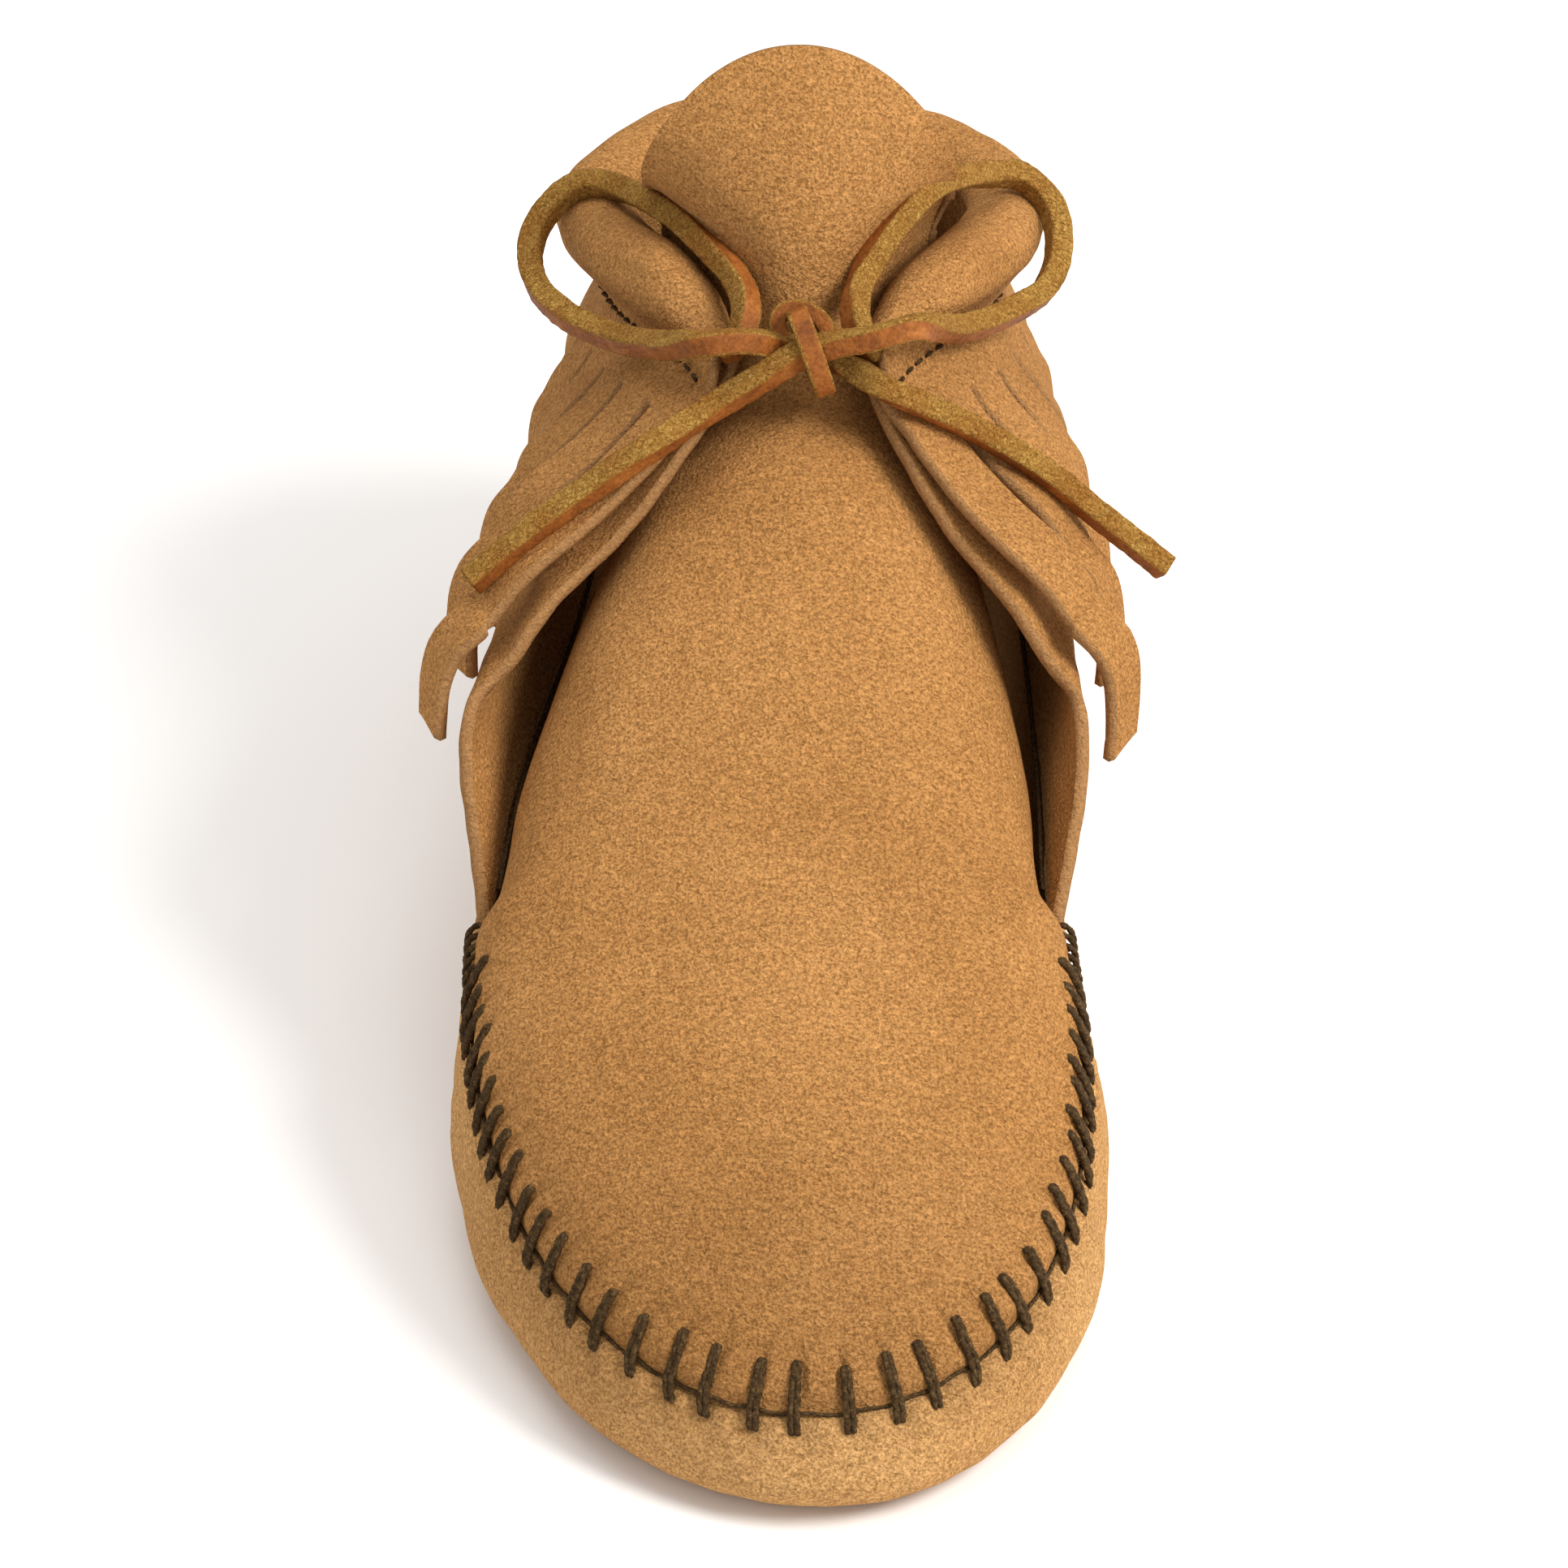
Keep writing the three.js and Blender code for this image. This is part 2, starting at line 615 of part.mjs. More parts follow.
function insoleLayer(inset, bottom, thickness) {
  const outline = shares(48).slice(0, -1).map((u) => {
    const { side, share } = roundTheShoe(u);
    const before = roundTheShoe(Math.max(u - DERIVATIVE_STEP, 0));
    const after = roundTheShoe(Math.min(u + DERIVATIVE_STEP, 1));
    const along = solePoint(after.share, after.side).sub(solePoint(before.share, before.side)).normalize();
    const edge = solePoint(share, side);
    return new THREE.Vector2(edge.x - along.y * inset, edge.y + along.x * inset);
  });
  const slab = { depth: thickness, bevelEnabled: false };
  const solid = new THREE.ExtrudeGeometry(new THREE.Shape(outline), slab);
  return solid.translate(0, 0, bottom);
}

const foamBottom = suede + gap;
const coverBottom = foamBottom + insole.foam + gap;
add("insole_foam", insoleLayer(insole.foamInset, foamBottom, insole.foam), finish.foam());
add("insole_cover", insoleLayer(insole.coverInset, coverBottom, insole.cover), finish.lining());

// ---------------------------------------------------------------------------------------------
// Lace: a square leather thong, drawn here as a round one

const tunnelPoints = [...cuffs.get(-1).tunnel, ...cuffs.get(1).tunnel.slice(0, -1).reverse()];
const tunnelCurve = new THREE.CatmullRomCurve3(tunnelPoints);
add("lace_in_collar", tube(tunnelCurve, lace.width, 52, lace.sides), finish.lace());

// Each end leaves the collar, makes its loop, goes back through the knot and lies on the cuff of
// the other side.
const laceLeft = [
  [-9, 35.1, 97.2], [-8.2, 33.1, 97.2], [-6.6, 32.6, 99.6], [-5.6, 36, 102], [-7, 43, 102.8],
  [-13, 54, 103.2], [-19.8, 66.4, 101], [-25.8, 74.6, 98.6], [-31.5, 76.6, 97.5], [-36.2, 74, 94.8],
  [-38.8, 67.4, 92], [-37.4, 60.4, 89.8], [-32.9, 53, 89.6], [-26.6, 46.4, 90.6], [-19.5, 37, 95.3],
  [-12.2, 28, 101.6], [-6, 28.8, 101.6], [-0.6, 32, 98.4], [4, 32.3, 97.1], [9.2, 30.8, 96],
  [14.9, 25.8, 95.2],
  [25.9, 26.8, 88.6], [37.2, 26.8, 80.8], [47.9, 25.2, 71.8], [57.4, 23, 64.2],
];
const laceRight = [
  [13.6, 35, 97.2], [12.7, 33, 97.3], [11.4, 32.6, 99.6], [10.6, 36, 102.4], [12, 43.8, 103.4],
  [15.4, 49.6, 106.2], [20.2, 56.2, 108.8], [26.2, 66.8, 105.4], [31.4, 74.8, 100.8], [36.4, 78, 98.2],
  [40.8, 75.4, 95], [42, 68, 91.6], [39.8, 61, 89.2], [34.4, 54, 89.8], [27.4, 44, 93.6], [18.8, 29.8, 103.2],
  [12.8, 28.2, 102.4], [8, 28.6, 101.2], [4, 29, 99.7], [0.4, 28.2, 98.2], [-3.6, 26.9, 96],
  [-10.4, 24.8, 92.6], [-20, 17.6, 90], [-29.6, 14.4, 84.4], [-38, 10.6, 79.4], [-46.4, 7, 73.4],
];
const knot = { at: [4, 30.6, 98.4], radius: 5.9, lean: -0.3, thong: 3 };

for (const [name, route] of [["lace_left", laceLeft], ["lace_right", laceRight]]) {
  const curve = new THREE.CatmullRomCurve3(route.map((point) => new THREE.Vector3(...point)));
  add(name, tube(curve, lace.width, 64, lace.sides), finish.lace());
}

const wrap = new THREE.TorusGeometry(knot.radius, knot.thong / 2, 8, 18);
wrap.rotateY(Math.PI / 2).rotateY(knot.lean).translate(...knot.at);
add("knot_wrap", geometryOf(solidOf(wrap)), finish.lace());

export default model;
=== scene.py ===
import math

import bpy
import numpy as np
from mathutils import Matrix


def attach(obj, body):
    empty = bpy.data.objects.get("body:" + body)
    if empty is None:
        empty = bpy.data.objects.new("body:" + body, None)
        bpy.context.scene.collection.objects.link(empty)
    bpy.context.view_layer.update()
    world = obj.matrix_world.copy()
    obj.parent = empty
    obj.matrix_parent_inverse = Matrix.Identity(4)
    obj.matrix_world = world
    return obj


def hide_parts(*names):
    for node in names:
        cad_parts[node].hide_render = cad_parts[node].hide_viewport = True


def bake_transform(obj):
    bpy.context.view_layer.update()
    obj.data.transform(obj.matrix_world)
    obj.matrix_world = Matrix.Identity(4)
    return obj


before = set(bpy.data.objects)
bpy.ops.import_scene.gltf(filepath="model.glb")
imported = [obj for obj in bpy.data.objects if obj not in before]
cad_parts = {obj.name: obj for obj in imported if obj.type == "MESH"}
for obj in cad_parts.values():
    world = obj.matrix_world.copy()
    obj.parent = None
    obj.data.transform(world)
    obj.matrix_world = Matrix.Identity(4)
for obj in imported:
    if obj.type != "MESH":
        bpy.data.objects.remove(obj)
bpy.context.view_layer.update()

# The looks of a suede ankle moccasin. The leather's surfaces are worked out in millimetres on the
# same last as the CAD model, and become metres where a mesh is made.
MM = 0.001
SUEDE = 2.0
GAP = 0.3
SIDES = ((-1, "left"), (1, "right"))

# --- Camera and light ---

CAMERA = {"elevation": 38.0, "distance": 1.1, "target": (0.0, 0.0, 0.041), "lens": 168.6}


def add_object(name, data):
    made = bpy.data.objects.new(name, data)
    bpy.context.scene.collection.objects.link(made)
    return made


def make_camera():
    data = bpy.data.cameras.new("camera")
    data.lens = CAMERA["lens"]
    data.clip_start = 0.05
    data.clip_end = 20.0
    camera = add_object("camera", data)
    elevation = math.radians(CAMERA["elevation"])
    x, y, z = CAMERA["target"]
    away = CAMERA["distance"]
    camera.location = (x, y - away * math.cos(elevation), z + away * math.sin(elevation))
    camera.rotation_euler = (math.pi / 2 - elevation, 0, 0)
    bpy.context.scene.camera = camera


def area_light(name, location, target, size, power, colour):
    data = bpy.data.lights.new(name, "AREA")
    data.shape = "DISK"
    data.size = size
    data.energy = power
    data.color = colour
    light = add_object(name, data)
    light.location = location
    x, y, z = np.array(location) - np.array(target)
    light.rotation_euler = (math.atan2(math.hypot(x, y), z), 0, math.atan2(x, -y))


def make_studio():
    world = bpy.data.worlds.new("studio")
    world.use_nodes = True
    background = world.node_tree.nodes["Background"]
    background.inputs["Color"].default_value = (1, 0.99, 0.98, 1)
    background.inputs["Strength"].default_value = 0.66
    bpy.context.scene.world = world
    bpy.context.scene.view_settings.view_transform = "Standard"
    middle = (0, 0, 0.05)
    area_light("key", (0.8, -0.3, 0.9), middle, 0.6, 13.5, (1, 0.985, 0.965))
    area_light("top", (-0.1, 0.25, 1.3), middle, 1.0, 5.5, (1, 1, 1))

    mesh = bpy.data.meshes.new("floor")
    reach = 4.0
    corners = [(-reach, -reach, 0), (reach, -reach, 0), (reach, reach, 0), (-reach, reach, 0)]
    mesh.from_pydata(corners, [], [(0, 1, 2, 3)])
    floor = add_object("floor", mesh)
    material = bpy.data.materials.new("floor")
    material.use_nodes = True
    shader = material.node_tree.nodes["Principled BSDF"]
    shader.inputs["Base Color"].default_value = (0.985, 0.98, 0.972, 1)
    shader.inputs["Roughness"].default_value = 0.9
    shader.inputs["Specular IOR Level"].default_value = 0.1
    mesh.materials.append(material)


# --- Materials ---


class Shader:
    """A Principled material and short ways to add nodes to it."""

    def __init__(self, name, roughness, shine=0.25, sheen=0.0):
        self.material = bpy.data.materials.new(name)
        self.material.use_nodes = True
        self.tree = self.material.node_tree
        self.bsdf = self.tree.nodes["Principled BSDF"]
        self.bsdf.inputs["Roughness"].default_value = roughness
        self.bsdf.inputs["Specular IOR Level"].default_value = shine
        self.bsdf.inputs["Sheen Weight"].default_value = sheen
        self.bsdf.inputs["Sheen Roughness"].default_value = 0.45
        self.place = self.tree.nodes.new("ShaderNodeTexCoord").outputs["Object"]

    def link(self, source, target):
        self.tree.links.new(source, target)

    def noise(self, scale, detail=2.0, rough=0.5, stretch=None, distortion=0.0):
        node = self.tree.nodes.new("ShaderNodeTexNoise")
        node.inputs["Scale"].default_value = scale
        node.inputs["Detail"].default_value = detail
        node.inputs["Roughness"].default_value = rough
        node.inputs["Distortion"].default_value = distortion
        place = self.place
        if stretch:
            mapping = self.tree.nodes.new("ShaderNodeMapping")
            mapping.inputs["Scale"].default_value = stretch
            self.link(place, mapping.inputs["Vector"])
            place = mapping.outputs["Vector"]
        self.link(place, node.inputs["Vector"])
        return node.outputs["Fac"]

    def ramp(self, source, *stops):
        node = self.tree.nodes.new("ShaderNodeValToRGB")
        elements = node.color_ramp.elements
        while len(elements) < len(stops):
            elements.new(0.5)
        for element, (position, colour) in zip(elements, stops):
            element.position = position
            element.color = (*colour, 1)
        self.link(source, node.inputs["Fac"])
        return node.outputs["Color"]

    def mix(self, share, a, b, how="MIX"):
        node = self.tree.nodes.new("ShaderNodeMix")
        node.data_type = "RGBA"
        node.blend_type = how
        for value, target in ((share, node.inputs["Factor"]), (a, node.inputs["A"]), (b, node.inputs["B"])):
            self.put(value, target)
        return node.outputs["Result"]

    def put(self, value, target):
        if isinstance(value, bpy.types.NodeSocket):
            self.link(value, target)
        elif isinstance(value, tuple):
            target.default_value = (*value, 1)
        else:
            target.default_value = value

    def sum(self, a, b, how="ADD"):
        node = self.tree.nodes.new("ShaderNodeMath")
        node.operation = how
        for value, target in ((a, node.inputs[0]), (b, node.inputs[1])):
            self.put(value, target)
        return node.outputs["Value"]

    def attribute(self, name):
        node = self.tree.nodes.new("ShaderNodeAttribute")
        node.attribute_name = name
        return node.outputs["Fac"]

    def finish(self, colour, height, depth):
        self.link(colour, self.bsdf.inputs["Base Color"])
        bump = self.tree.nodes.new("ShaderNodeBump")
        bump.inputs["Distance"].default_value = depth
        bump.inputs["Strength"].default_value = 1.0
        self.link(height, bump.inputs["Height"])
        self.link(bump.outputs["Normal"], self.bsdf.inputs["Normal"])
        return self.material


def suede_material(name, dark, body, pale, cut):
    """Napped suede: mottled patches, a fine speckle of fibre ends, paler fibres on cut edges, and painted
    shade that darkens the toe.
    """
    s = Shader(name, roughness=0.95, sheen=0.12, shine=0.08)
    s.bsdf.inputs["Sheen Tint"].default_value = (*pale, 1)
    patches = s.ramp(s.noise(30, 2.0, 0.5, distortion=0.3), (0.3, dark), (0.52, body), (0.74, pale))
    speckle = s.noise(2300, 2.0, 0.6)
    fibres = s.noise(1300, 3.0, 0.65, stretch=(0.7, 1.0, 1.0), distortion=0.8)
    grains = s.ramp(
        speckle, (0.36, (0.66, 0.62, 0.56)), (0.5, (0.98, 0.98, 0.98)), (0.66, (1.26, 1.28, 1.32)),
    )
    tufts = s.ramp(fibres, (0.34, (0.76, 0.73, 0.68)), (0.52, (1.0, 1.0, 1.0)), (0.7, (1.16, 1.17, 1.18)))
    colour = s.mix(1.0, s.mix(1.0, patches, grains, "MULTIPLY"), tufts, "MULTIPLY")
    # Painted shade: the colour is darkened by up to about a fifth where the toe share stored on the mesh is
    # high.
    colour = s.mix(s.attribute("painted_toe_shade"), colour, s.mix(1.0, colour, (0.78, 0.77, 0.76), "MULTIPLY"))
    colour = s.mix(s.attribute("cut"), colour, cut)
    height = s.sum(s.sum(speckle, 0.45, "MULTIPLY"), fibres)
    return s.finish(colour, height, depth=0.0007)


def thread_material():
    s = Shader("thread", roughness=0.8, shine=0.12)
    strands = s.noise(1400, 3.0, 0.6, distortion=1.0)
    colour = s.ramp(
        strands, (0.3, (0.026, 0.014, 0.005)), (0.52, (0.066, 0.036, 0.013)), (0.74, (0.16, 0.096, 0.038)),
    )
    return s.finish(colour, strands, depth=0.00025)


def grain_material():
    """The lace's dyed grain face: smooth, red-brown and slightly waxed."""
    s = Shader("lace_grain", roughness=0.6, shine=0.2)
    pores = s.noise(1600, 3.0, 0.6)
    wear = s.noise(150, 4.0, 0.65, distortion=0.8)
    dye = s.ramp(wear, (0.3, (0.17, 0.048, 0.008)), (0.55, (0.31, 0.098, 0.016)), (0.76, (0.46, 0.17, 0.034)))
    dots = s.ramp(pores, (0.35, (0.7, 0.66, 0.62)), (0.55, (1.0, 1.0, 1.0)), (0.75, (1.15, 1.15, 1.15)))
    return s.finish(s.mix(1.0, dye, dots, "MULTIPLY"), s.sum(pores, wear), depth=0.0002)


def flesh_material():
    """The lace's cut faces: fuzzy olive-yellow fibres with some of the dye drawn in."""
    s = Shader("lace_flesh", roughness=0.9, shine=0.1)
    fibres = s.noise(2100, 3.0, 0.7, distortion=1.0)
    stains = s.noise(120, 3.0, 0.6)
    straw = s.ramp(
        fibres, (0.32, (0.15, 0.066, 0.012)), (0.5, (0.37, 0.188, 0.036)), (0.7, (0.6, 0.38, 0.11)),
    )
    tint = s.ramp(stains, (0.35, (0.82, 0.68, 0.6)), (0.6, (1.0, 1.0, 1.0)), (0.8, (1.06, 1.04, 1.0)))
    return s.finish(s.mix(1.0, straw, tint, "MULTIPLY"), fibres, depth=0.0006)


def foam_material():
    s = Shader("foam", roughness=0.95)
    cells = s.noise(900, 2.0, 0.5)
    colour = s.ramp(cells, (0.35, (0.55, 0.5, 0.4)), (0.6, (0.78, 0.73, 0.62)))
    return s.finish(colour, cells, depth=0.0003)


# --- Meshes ---


def piece(name, points, faces, materials, body=None, replaces=(), scale=MM):
    """A mesh object from points. It rides on its body here, unless body is left out."""
    mesh = bpy.data.meshes.new(name)
    mesh.from_pydata((np.asarray(points) * scale).tolist(), [], faces)
    mesh.polygons.foreach_set("use_smooth", [True] * len(mesh.polygons))
    for material in materials:
        mesh.materials.append(material)
    made = add_object(name, mesh)
    if body:
        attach(made, body)
    if replaces:
        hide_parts(*replaces)
    return made


def set_shares(made, name, values):
    """Stores a share of 0 to 1 at each vertex, which the suede's colour reads."""
    attribute = made.data.attributes.new(name, "FLOAT", "POINT")
    attribute.data.foreach_set("value", np.asarray(values, np.float32))


def smoothstep(low, high, value):
    t = np.clip((value - low) / (high - low), 0, 1)
    return t * t * (3 - 2 * t)


def mix(a, b, share):
    return a + (b - a) * share


def unit(vectors):
    return vectors / np.maximum(np.linalg.norm(vectors, axis=-1, keepdims=True), 1e-12)


def ripple(points, size, seed, waves=7):
    """A smooth, repeatable, lumpy field of about -1 to 1, with lumps of about that size."""
    random = np.random.default_rng(seed)
    total = np.zeros(points.shape[:-1])
    for _ in range(waves):
        direction = unit(random.normal(size=3))
        pitch = size * random.uniform(0.7, 1.5)
        total += np.sin(points @ direction * (2 * np.pi / pitch) + random.uniform(0, 2 * np.pi))
    return total / math.sqrt(waves)


DERIVATIVE_STEP = 1e-3


def normals_of(surface, u, v):
    """Unit normals of a surface, u direction cross v direction."""
    u0, u1 = np.maximum(u - DERIVATIVE_STEP, 0), np.minimum(u + DERIVATIVE_STEP, 1)
    v = np.minimum(v, 1 - DERIVATIVE_STEP)
    v0, v1 = np.maximum(v - DERIVATIVE_STEP, 0), np.minimum(v + DERIVATIVE_STEP, 1)
    return unit(np.cross(surface(u1, v) - surface(u0, v), surface(u, v1) - surface(u, v0)))


def edged_shares(count):
    """Even shares of 0 to 1, with a close row at each end that keeps the edge there crisp."""
    close = 0.15 / count
    return np.concatenate([[0, close], np.linspace(0, 1, count + 1)[1:-1], [1 - close, 1]])


RIM_ROUND = 0.22


def panel(surface, columns, rows, side, relief, closed=False, normal_at=None):
    """Points, faces and cut shares of a sheet of leather whose outer face is the surface.

    Each column is a closed loop: up the outer face, over the rounded rim, down the inner face and
    round the other rim. An open panel is capped at both ends in the same way."""
    u = np.linspace(0, 1, columns + 1)[:-1] if closed else edged_shares(columns)
    v = edged_shares(rows)
    grid_u, grid_v = np.meshgrid(u, v, indexing="ij")
    outer = surface(grid_u, grid_v)
    normal = (normal_at(grid_u, grid_v) if normal_at else normals_of(surface, grid_u, grid_v)) * side
    outer = outer + normal * relief(outer, grid_u, grid_v)[..., None]
    inner = outer - normal * SUEDE
    middle = (outer + inner) / 2
    middle[:, 0] += unit(middle[:, 0] - middle[:, 1]) * SUEDE * RIM_ROUND
    middle[:, -1] += unit(middle[:, -1] - middle[:, -2]) * SUEDE * RIM_ROUND
    loops = np.concatenate([outer, middle[:, -1:], inner[:, ::-1], middle[:, :1]], axis=1)
    count, length = loops.shape[:2]
    cut = np.zeros((count, length))
    cut[:, [0, len(v) - 1, len(v), len(v) + 1, length - 2, length - 1]] = 1
    points = loops.reshape(-1, 3)
    faces = []

    def quad(a, b, c, d):
        faces.append((a, b, c, d) if side > 0 else (d, c, b, a))

    for i in range(count if closed else count - 1):
        here, there = i * length, ((i + 1) % count) * length
        for k in range(length):
            quad(here + k, there + k, there + (k + 1) % length, here + (k + 1) % length)
    if not closed:
        rows_here = len(v)
        for end, turn in ((0, 1), (count - 1, -1)):
            cut[end] = 1
            start = len(points)
            out = unit(middle[end, 1:-1] - middle[end + turn, 1:-1])
            points = np.concatenate([points, middle[end, 1:-1] + out * SUEDE * RIM_ROUND])
            base = end * length
            spine_ids = [base + length - 1, *range(start, start + rows_here - 2), base + rows_here]
            for j in range(rows_here - 1):
                out_a, out_b = base + j, base + j + 1
                in_a, in_b = base + length - 2 - j, base + length - 3 - j
                mid_a, mid_b = spine_ids[j], spine_ids[j + 1]
                for ring in ((out_a, out_b, mid_b, mid_a), (mid_a, mid_b, in_b, in_a)):
                    quad(*(ring if turn > 0 else ring[::-1]))
    cut = np.concatenate([cut.reshape(-1), np.ones(len(points) - count * length)])
    return points, [tuple(dict.fromkeys(face)) for face in faces], cut


def sweep(path, outline, ups, ends=True):
    """A solid that carries an outline along a path. Outline points are (across, up) for each step."""
    along = unit(np.gradient(path, axis=0))
    across = unit(np.cross(along, ups))
    ups = np.cross(across, along)
    rings = path[:, None] + outline[..., :1] * across[:, None] + outline[..., 1:] * ups[:, None]
    count, length = rings.shape[:2]
    faces = []
    for i in range(count - 1):
        for k in range(length):
            following = (k + 1) % length
            here, there = i * length, (i + 1) * length
            faces.append((here + k, here + following, there + following, there + k))
    if ends:
        faces.append(tuple(range(length - 1, -1, -1)))
        faces.append(tuple(range((count - 1) * length, count * length)))
    return rings.reshape(-1, 3), faces


def merged(parts):
    """Several (points, faces) as one."""
    points, faces, start = [], [], 0
    for part_points, part_faces in parts:
        points.append(part_points)
        faces += [tuple(index + start for index in face) for face in part_faces]
        start += len(part_points)
    return np.concatenate(points), faces


# --- Curves ---


def hermite(t, start, start_slope, stop, stop_slope):
    """A cubic from start (t = 0) to stop (t = 1) with those slopes."""
    return (
        (2 * t**3 - 3 * t**2 + 1) * start
        + (t**3 - 2 * t**2 + t) * start_slope
        + (3 * t**2 - 2 * t**3) * stop
        + (t**3 - t**2) * stop_slope
    )


def through(*stations):
    """A smooth function through a few (position, value) stations, flat beyond them."""
    x, y = np.array(stations, float).T
    secant = np.diff(y) / np.diff(x)
    slope = np.concatenate([secant[:1], (secant[1:] + secant[:-1]) / 2, secant[-1:]])

    def value(position):
        position = np.clip(position, x[0], x[-1])
        i = np.clip(np.searchsorted(x, position, side="right") - 1, 0, len(x) - 2)
        width = x[i + 1] - x[i]
        t = (position - x[i]) / width
        return hermite(t, y[i], width * slope[i], y[i + 1], width * slope[i + 1])

    return value


def spline(points):
    """A centripetal Catmull-Rom curve through points, by its parameter from 0 to 1."""
    points = np.array(points, float)
    before, after = 2 * points[0] - points[1], 2 * points[-1] - points[-2]
    knots = np.vstack([before, points, after])

    def at(t):
        t = np.asarray(t, float)
        place = np.clip(t, 0, 1) * (len(points) - 1)
        i = np.minimum(place.astype(int), len(points) - 2)
        s = (place - i)[..., None]
        p0, p1, p2, p3 = (knots[i + k] for k in range(4))
        spans = ((p0, p1), (p1, p2), (p2, p3))
        step = [np.sqrt(np.linalg.norm(b - a, axis=-1, keepdims=True)) for a, b in spans]
        start = ((p1 - p0) / step[0] - (p2 - p0) / (step[0] + step[1]) + (p2 - p1) / step[1]) * step[1]
        stop = ((p2 - p1) / step[1] - (p3 - p1) / (step[1] + step[2]) + (p3 - p2) / step[2]) * step[1]
        return hermite(s, p1, start, p2, stop)

    return at


def by_length(curve):
    """The same curve by its share of length, and that share's parameter."""
    t = np.linspace(0, 1, 401)
    steps = np.linalg.norm(np.diff(curve(t), axis=0), axis=1)
    shares = np.concatenate([[0], np.cumsum(steps)]) / steps.sum()

    def parameter(share):
        return np.interp(share, shares, t)

    def at(share):
        return curve(parameter(share))

    return at, parameter


def length_of(path):
    return float(np.linalg.norm(np.diff(path, axis=0), axis=1).sum())


# --- Lace: two free ends of a square thong, tied in a bow ---

# The CAD model's lace is this wide. What is seen is drawn a little wider, with its loose fibres.
LACE_WIDTH = 0.0033
SEEN_LACE_WIDTH, HIDDEN_LACE_WIDTH = 0.0036, 0.0028
LACE_FUZZ = 0.05
LACE_STEPS, CORD_EVERY = 420, 4
TAIL_FROM, TAIL_TURN = 0.68, 0.06

# The routes of the CAD model.
LACE_LEFT = [
    (-9, 35.1, 97.2), (-8.2, 33.1, 97.2), (-6.6, 32.6, 99.6), (-5.6, 36, 102), (-7, 43, 102.8),
    (-13, 54, 103.2), (-19.8, 66.4, 101), (-25.8, 74.6, 98.6), (-31.5, 76.6, 97.5), (-36.2, 74, 94.8),
    (-38.8, 67.4, 92), (-37.4, 60.4, 89.8), (-32.9, 53, 89.6), (-26.6, 46.4, 90.6), (-19.5, 37, 95.3),
    (-12.2, 28, 101.6), (-6, 28.8, 101.6), (-0.6, 32, 98.4), (4, 32.3, 97.1), (9.2, 30.8, 96),
    (14.9, 25.8, 95.2), (25.9, 26.8, 88.6), (37.2, 26.8, 80.8), (47.9, 25.2, 71.8), (57.4, 23, 64.2),
]
LACE_RIGHT = [
    (13.6, 35, 97.2), (12.7, 33, 97.3), (11.4, 32.6, 99.6), (10.6, 36, 102.4), (12, 43.8, 103.4),
    (15.4, 49.6, 106.2), (20.2, 56.2, 108.8), (26.2, 66.8, 105.4), (31.4, 74.8, 100.8),
    (36.4, 78, 98.2), (40.8, 75.4, 95), (42, 68, 91.6), (39.8, 61, 89.2), (34.4, 54, 89.8),
    (27.4, 44, 93.6), (18.8, 29.8, 103.2), (12.8, 28.2, 102.4), (8, 28.6, 101.2), (4, 29, 99.7),
    (0.4, 28.2, 98.2), (-3.6, 26.9, 96), (-10.4, 24.8, 92.6), (-20, 17.6, 90), (-29.6, 14.4, 84.4),
    (-38, 10.6, 79.4), (-46.4, 7, 73.4),
]
THONG_CORNERS, POINTS_PER_SIDE = 4, 6
LOOK_DOWN = math.radians(CAMERA["elevation"])
TO_CAMERA = np.array([0, -math.cos(LOOK_DOWN), math.sin(LOOK_DOWN)])


def thong_outline(width):
    """A square with rounded corners, and for each of its edges whether it lies on the grain face."""
    half, corner = width / 2, width * 0.16
    outline, grain = [], []
    for turn in range(THONG_CORNERS):
        angle = turn * math.pi / 2
        rotate = np.array([[math.cos(angle), -math.sin(angle)], [math.sin(angle), math.cos(angle)]])
        for share in np.linspace(-1, 1, POINTS_PER_SIDE, endpoint=False):
            outline.append(rotate @ (share * (half - corner), -half))
            grain.append(turn == 0)
        for bend in np.linspace(0, math.pi / 2, 3, endpoint=False):
            centre = np.array([half - corner, -half + corner])
            outline.append(rotate @ (centre + corner * np.array([math.sin(bend), -math.cos(bend)])))
            grain.append(turn == 0 and bend == 0)
    return np.array(outline), grain


def show_grain(made, grain, steps):
    """The first material goes on the grain faces, the second on the cut faces and the ends."""
    sides = (steps - 1) * len(grain)
    flesh = [0 if grain[i % len(grain)] else 1 for i in range(sides)]
    flesh += [1] * (len(made.data.polygons) - sides)
    made.data.polygons.foreach_set("material_index", flesh)


def thong(name, path, ups, width, materials, seed, node):
    """A square thong along a path in metres, its grain face turned away from the ups directions."""
    outline, grain = thong_outline(width)
    outline = np.repeat(outline[None], len(path), axis=0)
    points, faces = sweep(path, outline, ups)
    roughness = ripple(points / MM, 1.6, seed) * LACE_FUZZ + ripple(points / MM, 6.0, seed + 1) * LACE_FUZZ
    centre = np.repeat(path, len(grain), axis=0)
    points = points + unit(points - centre) * (roughness * MM)[:, None]
    made = piece(name, points, faces, materials, "root", [node], scale=1.0)
    show_grain(made, grain, len(path))
    return made


def steady_ups(path, first):
    """Directions across a path that turn with it and no more than it does."""
    along = unit(np.gradient(path, axis=0))
    ups = [unit(np.array(first) - along[0] * (along[0] @ first))]
    for tangent in along[1:]:
        ups.append(unit(ups[-1] - tangent * (tangent @ ups[-1])))
    return np.array(ups)


